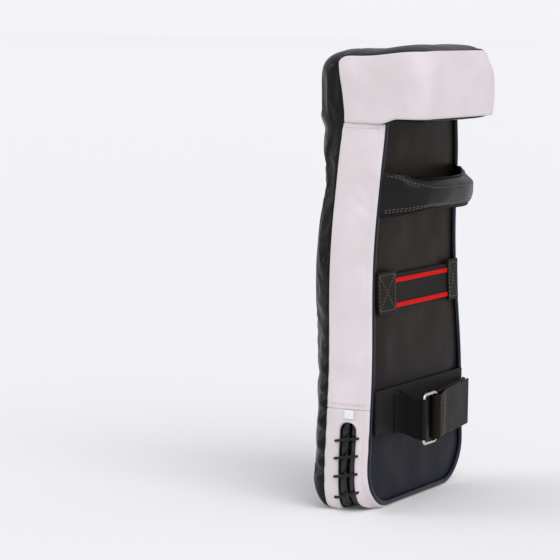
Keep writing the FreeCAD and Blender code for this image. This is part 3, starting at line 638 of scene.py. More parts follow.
def settle(piece, pinned):
    # cloth under stuffing pressure: pinned is the weight that holds each vertex
    before = coordinates(piece.data)
    group = piece.vertex_groups.new(name="sewn")
    for weight in np.unique(np.round(pinned, 1)):
        members = np.nonzero(np.round(pinned, 1) == weight)[0].tolist()
        group.add(members, float(weight), "REPLACE")
    cloth = piece.modifiers.new("stuffing", "CLOTH")
    settings = cloth.settings
    settings.quality = 5
    settings.mass = 0.3
    settings.tension_stiffness = settings.compression_stiffness = stuffing["stiffness"]
    settings.shear_stiffness = 5.0
    settings.bending_stiffness = 0.6
    settings.use_pressure = True
    settings.uniform_pressure_force = stuffing["pressure"]
    settings.shrink_min = stuffing["shrink"]
    settings.vertex_group_mass = "sewn"
    settings.effector_weights.gravity = 0.0
    cloth.collision_settings.use_collision = False
    for span in (scene, cloth.point_cache):
        span.frame_start = 1
        span.frame_end = stuffing["frames"]
    for number in range(1, stuffing["frames"] + 1):
        scene.frame_set(number)
    shift = coordinates(piece.evaluated_get(bpy.context.evaluated_depsgraph_get()).data) - before
    piece.modifiers.remove(cloth)
    piece.vertex_groups.clear()
    distance = np.linalg.norm(shift, axis=1, keepdims=True)
    shift *= np.minimum(1, stuffing["cap"] * mm / np.maximum(distance, 1e-9))
    print("settled %s: moved up to %.1f mm" % (piece.name, distance.max() / mm))
    piece.data.vertices.foreach_set("co", (before + shift).ravel())
    piece.data.update()
    scene.frame_set(1)


frontCover = makeFace()
fromSeam = pad["frontSeam"] - coordinates(frontCover.data)[:, 1] / mm
settle(frontCover, 1 - smooth(fromSeam, 1.0, 7.0))
place(frontCover, faceLeather, "black_cover", replaced=["front_cover", "strike_foam"], fill=0.8, thick=1.4)
print("striking face made")

# side strips and bottom strip
gusset = {
    "bulge": 1.8,              # stuffed out between its seams
    "foldFrom": 3.2,           # a pressed fold line along the rear edge
    "foldDepth": 0.35,
    "frontRound": 1.8,
    "rearRound": 2.8,          # the leather turns over to the back panel
    "tuck": 2.0,
    "step": 2.0,
    "slack": 0.28,             # soft relief between the seams
    "gripPull": 0.55,          # creases where the grip pulls at the side
    "footSlack": 0.25,         # relief of the bottom strip
}


def gussetSection(count=22):
    # depth (y) and height above the outline, from tucked front edge to tucked rear edge
    front, rear = pad["frontSeam"] - 2.2, pad["rearFace"] - 0.4
    quarter = np.linspace(0, math.pi / 2, 6)
    r, q = gusset["frontRound"], gusset["rearRound"]
    frontY = front + 0.2 + r * (1 - np.sin(quarter))[::-1]
    frontUp = -r * (1 - np.cos(quarter))[::-1]
    flat = np.linspace(0, 1, count)[1:-1]
    flatY = (front + 0.2 + r) * (1 - flat) + (rear - q) * flat
    flatY = np.sort(np.concatenate([flatY, rear - q - gusset["foldFrom"] + np.linspace(-1.6, 1.6, 5)]))
    flat = (flatY - front - 0.2 - r) / (rear - q - front - 0.2 - r)
    flatUp = gusset["bulge"] * np.sin(math.pi * np.clip(flat, 0, 1)) ** 0.7
    rearY = rear - q + q * np.sin(quarter)
    rearUp = -q * (1 - np.cos(quarter))
    y = np.concatenate([[front + 0.5], frontY, flatY, rearY, [rear - 3.4]])
    up = np.concatenate([[-r - gusset["tuck"]], frontUp, flatUp, rearUp, [-q - 0.3]])
    return y, up


seamDistance = outlineDistance(pad["stripSeam"])
neckDistance = outlineDistance(pad["neckHeight"] - 1.5)


def foldAt(y):
    # the pressed fold line, a narrow dip along the rear edge
    return gusset["foldDepth"] * hump(y, pad["rearFace"] - gusset["rearRound"] - gusset["foldFrom"], 0.8)


def endDip(distances, start, end, radius=0.8, tuck=3.4):
    # how far a panel dips as it turns in at its two ends, where its last rows are tucked under
    near = np.minimum(distances - start, end - distances)
    dip = -radius * (1 - np.clip(near / radius, 0, 1)) ** 2
    dip[0] = dip[-1] = -tuck
    return dip[:, None]


def makeSideStrip(side):
    # the section carried along the outline, with slight slack between the seams
    edge = np.array([0, 0.4, 0.9, 1.6, 2.5])
    count = int((neckDistance - seamDistance) / gusset["step"])
    distances = np.concatenate([[seamDistance], seamDistance + edge,
                                np.linspace(seamDistance + 4.5, neckDistance - 4.5, count),
                                neckDistance - edge[::-1], [neckDistance]])
    y, up = gussetSection()
    s, y = np.meshgrid(distances * side, y, indexing="ij")
    seed = 3 if side > 0 else 4
    middle = np.clip(1 - np.abs(y / 18.0) ** 2, 0, 1)
    z = outlineAt(s, 0, squareAt(y))[1]
    pulled = gusset["gripPull"] * hump(z, 275, 26) * smooth(y, -8, 10) * middle
    lift = up[None, :] + gusset["slack"] * middle * ripple(s, y, 16, 60, seed)
    lift = lift + pulled * ripple(s, y, 9, 22, seed + 9, slant=0.6, spread=0.7)
    lift = lift - foldAt(y) + endDip(distances, seamDistance, neckDistance)
    piece = gridObject("sideStrip" + sideNames[side].capitalize(), raised(s, y, lift, squareAt(y)),
                       outside=(0, 0, 200))
    place(piece, whiteLeather, "white_cover", replaced=["side_strip_" + sideNames[side]], thick=1.3)


for side in (1, -1):
    makeSideStrip(side)

slot = {
    "top": 79.0,               # height of the round end
    "half": 8.1,
    "flareHalf": 12.6,         # under the foot
    "flareStart": 8.0,         # distance from the flat foot at which the flare begins
    "flareEnd": 34.0,
    "spread": 14.0,            # width on each side over which the leather makes room for it
}
slotEnd = outlineDistance(slot["top"])


def slotHalf(distance):
    # half the slot's width along the outline: round at its ends, flared under the foot
    run = np.abs(distance)
    fromEnd = np.clip(slotEnd - run, 0, None)
    roundEnd = np.sqrt(np.clip(1 - (1 - np.clip(fromEnd / slot["half"], 0, 1)) ** 2, 0, 1))
    flare = smooth(run, flatHalf + slot["flareEnd"], flatHalf + slot["flareStart"])
    return (slot["half"] + (slot["flareHalf"] - slot["half"]) * flare) * roundEnd


def makeBottomStrip():
    # the section is cut into a front and a rear half that meet above the slot's round ends
    fine = np.linspace(-slot["half"], 0, 15)
    run = np.concatenate([np.arange(0, slotEnd - slot["half"] - 1, gusset["step"]), slotEnd + fine,
                          np.arange(slotEnd + 1.5, seamDistance - 3, gusset["step"]),
                          seamDistance - np.array([2.5, 1.6, 0.9, 0.4, 0.0])])
    distances = np.concatenate([-run[:0:-1], run])
    distances = distances[[0, *range(len(distances)), -1]]
    dip = endDip(distances, -seamDistance, seamDistance)
    y, up = gussetSection(26)
    half = slotHalf(distances)[:, None]
    opening = smooth(half, 0.0, 2.5)
    inner = np.linspace(2, 0, 5)
    distances = distances[:, None]
    parts = []
    for side in (-1, 1):
        # columns from the seam to the slot
        outer = y * side > 2
        ySide = np.concatenate([y[outer][::-side], side * inner])
        upSide = np.where(np.abs(ySide) > 2, np.concatenate([up[outer][::-side], inner]),
                          np.interp(ySide, y[np.abs(y) < 12], up[np.abs(y) < 12]))
        yGrid = ySide + side * half * np.clip(1 - np.abs(ySide) / slot["spread"], 0, 1)
        fromSlot = np.abs(yGrid - side * half)
        lift = upSide - opening * 1.4 * (1 - np.clip(fromSlot / 2.4, 0, 1)) ** 2
        slack = gusset["footSlack"] * ripple(distances + 0 * yGrid, ySide + 0 * yGrid, 14, 40, 8)
        lift = lift + slack * np.clip(np.abs(ySide) / 8, 0, 1) - foldAt(yGrid)
        lift = np.concatenate([lift, lift[:, -1:] - opening * 2.2], axis=1) + dip
        yGrid = np.concatenate([yGrid, side * half], axis=1)
        outZ = outlineAt(distances)[3]
        lift = np.where(outZ < -0.6, np.minimum(lift, np.maximum(0.3, (1 + outZ) * 12)), lift)
        points = raised(distances, yGrid, lift, squareAt(yGrid))
        points[..., 2] = np.maximum(points[..., 2], 0.05)
        parts.append(points[:, ::-side])
    piece = gridObject("bottomStrip", np.concatenate(parts, axis=1), outside=(0, 0, 120), merge=True)

    def openSlot(work):
        # the bridge of faces across the open slot goes
        gap = 0.3 * mm
        doomed = [f for f in work.faces if max(v.co.y for v in f.verts) > gap
                  and min(v.co.y for v in f.verts) < -gap]
        bmesh.ops.delete(work, geom=doomed, context="FACES")

    editMesh(piece, openSlot)
    place(piece, whiteLeather, "white_cover", replaced=["bottom_strip", "core_foam"], thick=1.3)


makeBottomStrip()


def makeFacing(side):
    # glossy leather under the slot: a lip that rolls in to the crease where the two halves meet
    distances = np.linspace(-slotEnd - 5, slotEnd + 5, 260)[:, None]
    part = np.linspace(0, 1, 16)[None, :]
    crease = 0.8 * ripple(distances, 0 * distances, 40, 90, 23)
    outer = np.maximum(slotHalf(distances), 3.0) + 3.0
    y = side * outer * (1 - part) + (crease + side * 0.02) * part
    lip = np.sin(math.pi * np.clip(part * 1.02, 0, 1) ** 1.5)
    gather = ripple(distances, 4.0 * part, 9, 17, 17 + side, spread=0.9)
    lift = -3.4 + 1.1 * lip - 2.4 * part ** 6 + 0.35 * gather * lip
    lift = np.where(outlineAt(distances)[3] < -0.6, np.minimum(lift, -1.6), lift)
    end = "rear" if side > 0 else "front"
    piece = gridObject("slotFacing" + end.capitalize(), raised(distances, y, lift, squareAt(y)),
                       outside=(0, 0, 120))
    place(piece, facingLeather, "black_facing", replaced=["slot_facing_" + end], thick=0.8)


for side in (-1, 1):
    makeFacing(side)
print("side, bottom strips and facings made")

# head band: right side, back and left side
head = {
    "bulge": 4.2,
    "rearBulge": 1.4,          # more at the back
    "lowRound": 2.2,
    "highRound": 2.4,
    "cornerRise": 5.0,         # higher towards the back corners
    "cornerPull": 4.0,         # whose upper ends are drawn in, more on the left
    "underEdge": 341.0,        # lower edge behind the body
    "softCorner": 13.0,
    "slack": 0.5,
    "innerPucker": 0.35,       # small gathers where the band turns under behind the body
}


sideLength = pad["headRear"] - head["softCorner"] - pad["frontSeam"]
backLength = 2 * (pad["headHalf"] - head["softCorner"])
quarter = math.pi / 2 * head["softCorner"]
headRun = 2 * sideLength + 2 * quarter + backLength


def drawnIn(points):
    # the head's upper back corners move in and down, most at the very corner
    x, y, z = points[..., 0], points[..., 1], points[..., 2]
    share = smooth(np.abs(x), 46, 78) * smooth(y, 18, 54) * smooth(z, 372, 400)
    pull = head["cornerPull"] * share * np.where(x > 0, 0.25, 1.0)
    return np.stack([x - np.sign(x) * pull, y - pull, z - 0.7 * pull], axis=-1)


def headPlan(run, inset=0.0):
    # a point and outward direction at a distance along the band from its front end on the right
    radius = head["softCorner"] - inset
    turn = np.clip((run - sideLength) / head["softCorner"], 0, math.pi / 2)
    turn = turn + np.clip((run - sideLength - quarter - backLength) / head["softCorner"], 0, math.pi / 2)
    firstSide = np.clip(run, 0, sideLength)
    back = np.clip(run - sideLength - quarter, 0, backLength)
    lastSide = np.clip(run - sideLength - 2 * quarter - backLength, 0, sideLength)
    outX, outY = np.cos(turn), np.sin(turn)
    x = pad["headHalf"] - head["softCorner"] - back + radius * outX
    y = pad["frontSeam"] + firstSide + radius * outY - lastSide
    return x, y, outX, outY


def headEdges(run):
    # heights of the band's lower and upper edges along it
    near = np.minimum(run, headRun - run)
    toRear = near + pad["frontSeam"]
    low = pad["neckHeight"] - 1.5 + (head["underEdge"] - pad["neckHeight"] + 1.5) * smooth(toRear, 15, 33)
    high = lidAt(1.0, near)[0] + 1.6
    high = high + head["cornerRise"] * smooth(near, 20, sideLength + quarter / 2)
    return low, high


def makeHeadBand():
    # a section from the lower to the upper edge, rounded at both and bulging between, carried
    # round the head's plan
    run = np.concatenate([[0], np.linspace(0.0, headRun, 230), [headRun]])
    near = np.minimum(run, headRun - run)[:, None]
    low, high = headEdges(run)
    low, high = low[:, None], high[:, None]
    bend = np.linspace(0, math.pi / 2, 6)
    r, q = head["lowRound"], head["highRound"]
    flat = np.linspace(0, 1, 24)[1:-1]
    share = np.concatenate([np.zeros(7), flat, np.ones(7)])[None, :]
    sine, cosine = 1 - np.sin(bend), 1 - np.cos(bend)
    offset = np.concatenate([[0.4], r * sine[::-1], 0 * flat, -q * sine, [-0.4]])
    up = np.concatenate([[-r - 2], -r * cosine[::-1], 0 * flat, -q * cosine, [-q - 2]])
    z = (low + r) * (1 - share) + (high - q) * share
    z = z + np.where(share == 0, offset - r, 0) + np.where(share == 1, offset + q, 0)
    bulge = (1 - 0.12 * (1 - share) ** 6 - 0.5 * share ** 5) * smooth(near, -4, 16)
    bulge = bulge * (head["bulge"] + head["rearBulge"] * smooth(near, 40, 80))
    soft = head["slack"] * ripple(run[:, None] + 0 * z, z, 22, 80, 41) * np.sin(math.pi * share)
    inner = hump(near + pad["frontSeam"], 24, 9) * hump(z, 341, 8)
    soft = soft + head["innerPucker"] * inner * np.cos((near - z) * 2 * math.pi / 6.5)
    lift = up + bulge + soft + endDip(run, 0, headRun, radius=1.8, tuck=4.0)
    x, y, outX, outY = headPlan(run[:, None])
    y = y + (frontSeamAt(z) - pad["frontSeam"]) * (1 - smooth(near, 0, 55))
    points = np.stack([x + outX * lift, y + outY * lift, z], axis=-1)
    piece = gridObject("headBand", drawnIn(points), outside=(0, 10, 365))
    place(piece, whiteLeather, "white_cover", replaced=["head_band", "head_foam"], fill=0.9, thick=1.3)


makeHeadBand()


def headSlices(rows, inset, front):
    # half widths of the head's plan at depths from front to its back
    y = front + (pad["headRear"] - inset - front) * rows
    radius = head["softCorner"] - inset
    beyond = np.clip(y - (pad["headRear"] - head["softCorner"]), 0, radius)
    half = pad["headHalf"] - head["softCorner"] + np.sqrt(np.maximum(radius ** 2 - beyond ** 2, 0))
    return y, half


def makeHeadTop():
    # a crowned lid: the height over its edge is the product of two rounded profiles
    rows = np.sin(np.linspace(0, math.pi / 2, 60))[:, None]
    rows = np.concatenate([rows[:1], rows[1:2] * [[0.25], [0.5], [0.75]], rows[1:]])
    front = frontSeamAt(pad["padHeight"]) - 1.0
    y, half = headSlices(rows, 1.6, front)
    across = np.sin(np.linspace(-math.pi / 2, math.pi / 2, 90))[None, :]
    x = half * across
    y = y + 0 * x
    backward = (y - front) / (pad["headRear"] - front)
    edge, profile = lidAt(across + 0 * y, y - front)
    profile = profile * (1 - np.abs(backward) ** 7)
    edge = edge + head["cornerRise"] * smooth(y, -10, 40)
    z = edge + lid["crown"] * profile ** 0.6 + 0.25 * ripple(x, y, 24, 60, 51) * profile
    points = drawnIn(np.stack([x, y, z], axis=-1))
    points = np.concatenate([points[:, :1] + [2, 0, -3], points, points[:, -1:] + [-2, 0, -3]], axis=1)
    points = np.concatenate([points[:1] + [0, 1.5, -3], points])
    piece = gridObject("headTop", points, outside=(0, 10, 300), merge=True)
    place(piece, blackLeather, "black_cover", replaced=["head_top_panel"], fill=0.8, thick=1.3)


makeHeadTop()


def makeTopBinding():
    # a folded binding along the band's upper edge
    run = np.concatenate([np.linspace(0.5, 12, 16), np.linspace(13, headRun - 13, 220),
                          headRun - np.linspace(12, 0.5, 16)])
    near = np.minimum(run, headRun - run)
    _, high = headEdges(run)
    x, y, outX, outY = headPlan(run, 1.4)
    y = y + (frontSeamAt(high) - pad["frontSeam"]) * (1 - smooth(near, 0, 55))
    path = drawnIn(np.stack([x, y, high - 0.2], axis=-1))
    outward = np.stack([outX, outY, 0 * outX], axis=-1)
    piece = sweep("topBinding", path, outward, upwardFor(path), roundedSection(3.4, 3.2, 1.4))
    place(piece, pipingLeather, "piping")


makeTopBinding()


def makeHeadUnderside():
    # a sheet across the head's plan that sags in a rounded profile both ways
    rows = np.linspace(0, 1, 30)[:, None]
    y, half = headSlices(rows, 1.2, pad["rearFace"] - 2.5)
    across = np.sin(np.linspace(-math.pi / 2, math.pi / 2, 80))[None, :]
    x = half * across
    y = y + 0 * x
    sag = (1 - np.abs(across) ** 4) * np.sin(math.pi * np.clip(rows, 0.02, 0.98)) ** 0.5
    z = head["underEdge"] - 0.4 - 2.9 * sag ** 0.5 + 0.3 * ripple(x, y, 16, 40, 61) * sag
    piece = gridObject("headUnderside", np.stack([x, y, z], axis=-1), outside=(0, 30, 380))
    place(piece, blackLeather, "black_cover", replaced=["head_underside_panel"], thick=1.3)


makeHeadUnderside()
print("head made")

# back panel and piping
panel = {
    "inset": 3.3,
    "slack": 0.35,
    "fineSlack": 0.04,
    "gripCreases": 0.3,        # upright creases below the grip's ends
    "strapPull": 0.8,          # pressed in under the sewn bands
    "bulge": 1.6,
    "border": 4.0,
    "rowStep": 2.6,
    "columns": 110,
}


def makeBackPanel():
    # rows up the panel, each from side to side: flat at its edge, padded inside it
    low = panel["inset"] - 0.9
    high = head["underEdge"] + 0.5
    curve = pad["cornerRadius"]
    footRows = low + (curve - low) * (1 - np.cos(np.linspace(0, math.pi / 2, 24)))
    z = np.concatenate([footRows, np.arange(curve, high, panel["rowStep"])[1:], [high]])[:, None]
    across = np.sin(np.linspace(-math.pi / 2, math.pi / 2, panel["columns"]))[None, :]
    half = halfWidthAt(z, panel["inset"])
    x = half * across
    z = z + 0 * x
    fromEdge = np.minimum(half - np.abs(x), z - low)
    edge = -0.6 * (1 - np.clip(fromEdge / panel["border"], 0, 1)) ** 2
    swell = panel["bulge"] * smooth(fromEdge, 0, 30)
    slack = panel["slack"] * ripple(x, z, 30, 90, 71) + panel["fineSlack"] * ripple(x, z, 10, 20, 72)
    underHandle = panel["gripCreases"] * hump(z, 252, 22) * smooth(np.abs(x), 30, 70)
    slack = slack + underHandle * ripple(x, z, 12, 26, 73, slant=math.pi / 2, spread=1.0)
    strapPull = panel["strapPull"] * (hump(z, 190, 17) + hump(z, 87, 22))
    y = pad["rearFace"] - 2.4 + edge + (swell + slack * 0.8) * smooth(fromEdge, 0, 12) - strapPull
    points = np.stack([x, np.minimum(y, pad["rearFace"] - 0.15), z], axis=-1)
    piece = gridObject("backPanel", points, outside=(0, -60, 180))
    place(piece, panelLeather, "black_cover", replaced=["back_panel", "backing_foam"], fill=0.5, thick=1.3)


makeBackPanel()

piping = {
    "inset": 3.9,
    "half": 2.4,               # half its width
    "rise": 1.9,               # half its height
    "sunk": 1.0,
}


def makePiping():
    # a round cord under leather along the rear seam
    run = np.linspace(-neckDistance - 3, neckDistance + 3, 420)
    x, z, outX, outZ = outlineAt(run, piping["inset"])
    path = np.stack([x, 0 * x + pad["rearFace"] - piping["sunk"], z], axis=-1)
    outward = np.stack([outX, 0 * outX, outZ], axis=-1)
    depth = np.tile([0.0, 1.0, 0.0], (len(run), 1))
    piece = sweep("rearPiping", path, outward, depth, circle(12) * (piping["half"], piping["rise"]))
    place(piece, pipingLeather, "piping", replaced=["rear_piping"])


makePiping()
print("back panel and piping made")

# grip handle
gripLow, gripHigh = cadBox("handle_cover")
grip = {
    "height": (gripLow[2] + gripHigh[2]) / 2,
    "half": gripHigh[0] + 2.0,
    "reach": gripHigh[1] - pad["rearFace"],
    "tall": 25.5,
    "tallEnd": 38.0,
    "deep": 17.0,
    "deepEnd": 2.6,
    "slope": 6.5,              # cut off the upper outer corner
    "bendCreases": 0.35,
    "slack": 0.25,
    "power": 2.7,              # exponent of the section: 2 is an ellipse, more is boxier
}


def gripSlope(rise, deep):
    # how far the section's upper outer corner is cut back at a height, rise being -1 to 1
    return grip["slope"] * np.clip((rise - 0.42) / 0.58, 0, 1) * smooth(deep, 5, grip["deep"])


def gripFrames(count=190):
    # centre line, outward normal, height and depth of the grip's section along it
    t = np.linspace(-1, 1, count)
    x = grip["half"] * (0.35 * np.sin(t * math.pi / 2) + 0.65 * t)
    inward = grip["half"] - np.abs(x)
    swell = smooth(inward, 3, 34)
    share = np.clip(1 - inward / grip["half"], 0, 1)
    arch = (1 - share ** 2.4) * smooth(inward, -2, 22)
    deep = grip["deepEnd"] + (grip["deep"] - grip["deepEnd"]) * swell
    tall = grip["tallEnd"] + (grip["tall"] - grip["tallEnd"]) * smooth(inward, 4, 40)
    stand = deep / 2 + (grip["reach"] - grip["deep"]) * arch - 3.0 * smooth(inward, 6, 0)
    path = np.stack([x, pad["rearFace"] + stand, 0 * x + grip["height"]], axis=-1)
    outward = np.cross(upwardFor(path), unit(np.gradient(path, axis=0)))
    outward *= np.sign(outward[:, 1:2] + 1e-9)
    return path, outward, tall, deep


def makeGrip():
    # a superellipse carried along the grip's line, thin at its sewn ends and full in the middle
    path, outward, tall, deep = gripFrames()
    turn = np.linspace(0, 2 * math.pi, 57)[:-1]
    power = grip["power"]
    across = np.sign(np.cos(turn)) * np.abs(np.cos(turn)) ** (2 / power)
    rise = np.sign(np.sin(turn)) * np.abs(np.sin(turn)) ** (2 / power)
    section = np.stack([deep[:, None] / 2 * across, tall[:, None] / 2 * rise], axis=-1)
    # the upper outer corner is a slope, above a stitched edge
    section[..., 0] -= gripSlope(rise, deep[:, None]) * np.clip(across * 2, 0, 1)
    # creases on the inside of the bends
    x = path[:, :1]
    bend = grip["bendCreases"] * hump(np.abs(x), 58, 13)
    crease = bend * ripple(x + 0 * across, 12 * rise + 0 * x, 9, 16, 81, spread=0.6)
    crease = crease + grip["slack"] * ripple(x + 0 * across, 14 * turn + 0 * x, 16, 44, 82)
    section = section * (1 + crease[..., None] / 12 * np.array([1.0, 0.6]))
    piece = sweep("handleGrip", path, outward, upwardFor(path), section)
    place(piece, blackLeather, "black_grip", replaced=["handle_cover", "handle_core", "handle_webbing"],
          fill=0.85)


makeGrip()


def makeGripHem():
    # the cover's two edges, sewn together and left proud along the lower outer corner
    path, outward, tall, deep = gripFrames()
    keep = slice(3, -3)
    lower = path[keep] + outward[keep] * (deep[keep] * 0.22)[:, None]
    lower[:, 2] -= tall[keep] / 2 - 0.3
    piece = sweep("handleHem", lower, outward[keep], upwardFor(lower), roundedSection(2.0, 3.4, 0.9))
    place(piece, strapLeather, "black_grip")


makeGripHem()


def makeGripStitches():
    # one row under the slope and two along the hem
    path, outward, tall, deep = gripFrames()
    keep = slice(8, -8)
    runs = []
    toEnd = smooth(np.abs(path[keep, 0]), 30, 74)
    for rise, riseEnd in ((0.38, 0.84), (-0.86, -0.86), (-0.72, -0.74)):
        rise = rise + (riseEnd - rise) * toEnd
        out = (1 - np.abs(rise) ** grip["power"]) ** (1 / grip["power"]) / 2
        reach = deep[keep] * out - gripSlope(rise, deep[keep])
        line = path[keep] + outward[keep] * reach[:, None]
        line[:, 2] += tall[keep] / 2 * rise
        middle = len(line) // 2
        for part in np.split(line, (middle - 40, middle, middle + 40)):
            facing = np.cross((0, 0, 1), part[-1] - part[0])
            facing = facing * np.sign(facing[1]) / np.linalg.norm(facing)
            runs.append((part, facing))
    piece = stitchRow("handleStitches", runs, {"pitch": 3.4, "length": 2.7, "radius": 0.4, "rise": 0.35})
    place(piece, threadYarn, "black_grip")


makeGripStitches()

# elastic band with its red tapes and end patches
rear = pad["rearFace"]
patchSpan = {1: (47.0, 82.0), -1: (60.0, 81.0)}       # from the middle of the pad, right and left
patchThread = {"pitch": 3.2, "length": 2.4, "radius": 0.38, "rise": 0.3}


def flatBand(name, node, grow, above, thick, material, slotName, edge=0.7, shaped=True):
    # a band lying flat over the panel, as tall as its node, and longer at its two ends
    low, high = cadBox(node)
    ends = [(low[0] - grow[0], rear + above), (high[0] + grow[1], rear + above)]
    piece = strap(name, ends, (low[2] + high[2]) / 2, high[2] - low[2], thick, edge=edge, shaped=shaped)
    place(piece, material, slotName, replaced=[node])


flatBand("elasticBand", "elastic_band", (0, 0), 0.9, 1.5, elasticCloth, "elastic")
for name in ("upper", "lower"):
    flatBand("redTape" + name.capitalize(), "red_tape_" + name, (14, 1), 2.0, 0.9, redTape, "red_tape",
             edge=0.3)


def makePatches():
    # an end patch on each side, with a stitched border and a cross
    runs = []
    for side in (1, -1):
        node = "band_patch_" + sideNames[side]
        low, high = cadBox(node)
        near, far = patchSpan[side]
        plan = [(side * near, rear + 2.4), (side * far, rear + 2.4)]
        piece = strap("bandPatch" + sideNames[side].capitalize(), plan, (low[2] + high[2]) / 2,
                      high[2] - low[2], 1.6, shaped=True)
        place(piece, strapLeather, "black_strap", replaced=[node])
        near, far = side * (near + 2.5), side * (far - 2.5)
        corners = [(x, rear + 3.2, z) for x, z in ((near, low[2] + 3), (far, low[2] + 3),
                                                   (far, high[2] - 3), (near, high[2] - 3))]
        for first, second in ((0, 1), (1, 2), (2, 3), (3, 0), (0, 2), (1, 3)):
            runs.append(([corners[first], corners[second]], (0, 1, 0)))
    place(stitchRow("patchStitches", runs, patchThread), threadYarn, "black_strap")


makePatches()
print("handle and elastic band made")

# forearm strap with its ring
baseLow, baseHigh = cadBox("base_band")
ringLow, ringHigh = cadBox("rect_ring")
tabLow, tabHigh = cadBox("ring_tab")
strapLow, strapHigh = cadBox("arm_strap")
joints = {joint["name"]: np.array(joint["pos_m"]) / mm for joint in frame["joints"]}
tabBar, peelLine = joints["ring_swing"], joints["tongue_peel"]
arm = {
    "height": (ringLow[2] + ringHigh[2]) / 2,
    "baseHeight": (baseLow[2] + baseHigh[2]) / 2,
    "baseTall": baseHigh[2] - baseLow[2],
    "strapTall": strapHigh[2] - strapLow[2],
    "strapThick": 1.8,
    "wire": 1.5,
    "ringWide": 25.0,
    "crease": (-88.0, 6.5),    # across, and above the panel
    "tongueEnd": cadBox("strap_tongue")[0][0],
    "closure": 2.2,            # hook and loop tapes together
    "droop": 1.5,              # the strap hangs lower at its sewn end
    "creaseTall": 42.0,        # spread flat there, gathered to the ring's width at the ring
    "tabDroop": 5.0,           # the ring tab slopes down to the ring
}
strapBar = tabBar - np.array([arm["ringWide"], 0, 0])
loopMiddle = strapHigh[0] - strapBar[0] - arm["strapThick"] / 2
flatBand("baseBand", "base_band", (0, 0), 1.2, 2.3, webbingCloth, "webbing", shaped=False)


def makeRingTab():
    # webbing out from the base band, round the ring's bar and back, sewn to itself
    turn = np.linspace(-math.pi / 2 - 0.9, math.pi / 2 + 0.9, 15)[::-1]
    radius = arm["wire"] + 0.95
    loop = tabBar[:2] + radius * np.stack([np.sin(turn), np.cos(turn)], axis=-1)
    side = np.array([(9.0, rear + 2.9), (2.6, rear + 4.2), (1.1, rear + 9), (0.95, tabBar[1] - 6)])
    plan = np.concatenate([side + (tabBar[0], 0), loop, side[::-1] * (-1, 1) + (tabBar[0], 0)])
    plan = np.column_stack([plan, arm["tabDroop"] * smooth(tabBar[1] - plan[:, 1], 3, 22)])
    piece = strap("ringTab", plan, arm["height"], tabHigh[2] - tabLow[2], 1.5, spacing=0.9, edge=0.6)
    place(piece, webbingCloth, "webbing", replaced=["ring_tab"])


makeRingTab()

wire, wireTree, wireShader = newMaterial("nickel-plated steel wire, drawn", "D8D2C4", 0.22, Metallic=1.0)
wireNoise = addNode(wireTree, "TexNoise", {"Vector": addNode(wireTree, "TexCoord").outputs["Object"],
                                           "Scale": 900.0, "Detail": 4.0})
setInputs(wireShader, {"Roughness": addNode(wireTree, "MapRange", [wireNoise, 0.35, 0.65, 0.14, 0.34])})
ring = frame["nodes"]["rect_ring"]
ring.data.materials.clear()
ring.data.materials.append(wire)
for polygon in ring.data.polygons:
    polygon.use_smooth = True


def innerLayer(x):
    # height above the panel of the strap's under layer, from the crease to the ring
    start, rise = arm["crease"]
    under = strapBar[1] - rear - loopMiddle
    return rise + (under - rise) * (x - start) / (strapBar[0] - start)


def droopAt(x):
    # how much lower the strap hangs towards its sewn end
    return -arm["droop"] * smooth(x, strapBar[0], arm["crease"][0])


def tallAt(x):
    # the strap's height, spread flat at the crease and gathered at the ring
    return arm["strapTall"] + (arm["creaseTall"] - arm["strapTall"]) * smooth(x, strapBar[0] - 8, -40)


def makeArmStrap():
    # sewn end, crease, under layer to the ring, round its bar and back to the stitched line
    loop = [(strapBar[0] + loopMiddle * math.cos(a), strapBar[1] + loopMiddle * math.sin(a), 0,
             arm["strapTall"]) for a in np.linspace(-math.pi / 2, math.pi / 2, 17)]
    x, rise = arm["crease"]
    crease = [(place, rear + above, droopAt(x), arm["creaseTall"]) for place, above in (
        (strapLow[0] + 0.5, 3.4), (x - 1.0, rise - 0.8), (x, rise), (x + 1.5, rise + 0.2))]
    under = [(x, rear + innerLayer(x) + 0.5 * math.sin((x + 80) / 94 * math.pi), droopAt(x), tallAt(x))
             for x in np.linspace(-80, 14, 13)]
    over = [(peelLine[0] + 0.4, peelLine[1] - arm["strapThick"] / 2 + 0.1, 0, arm["strapTall"])]
    piece = strap("armStrap", crease + under + loop + over, arm["height"], arm["strapTall"],
                  arm["strapThick"], spacing=1.4)
    place(piece, strapLeather, "black_strap", replaced=["arm_strap"])


makeArmStrap()


def tonguePlan(start, end, lift):
    # the outer layer: down from the stitched line to the under layer, then along it
    x = np.linspace(start, end, 24)
    lead = peelLine[1] - arm["strapThick"] / 2 + (peelLine[0] - x) * -0.30
    return np.column_stack([x, np.maximum(rear + innerLayer(x) + lift, lead), droopAt(x), tallAt(x)])


tongueLift = arm["strapThick"] + arm["closure"]
place(strap("strapTongue", tonguePlan(peelLine[0] - 0.7, arm["tongueEnd"] - 1, tongueLift), arm["height"],
            arm["strapTall"], arm["strapThick"], spacing=1.6),
      strapLeather, "black_strap", body="tongue", replaced=["strap_tongue"])
for name, lift, body in (("loop_tape", 1.5, "pad"), ("hook_tape", 2.7, "tongue")):
    low, high = cadBox(name)
    plan = tonguePlan(high[0], low[0], lift)[:, :3]
    tape = strap("loopTape" if body == "pad" else "hookTape", plan, arm["height"], high[2] - low[2], 1.1)
    place(tape, webbingCloth, "closure", body=body, replaced=[name])
print("forearm strap made")

# sewing on the strips and straps
stripThread = {"pitch": 3.4, "length": 2.6, "radius": 0.34, "rise": 0.3}
strapThread = {"pitch": 3.2, "length": 2.5, "radius": 0.38, "rise": 0.3}


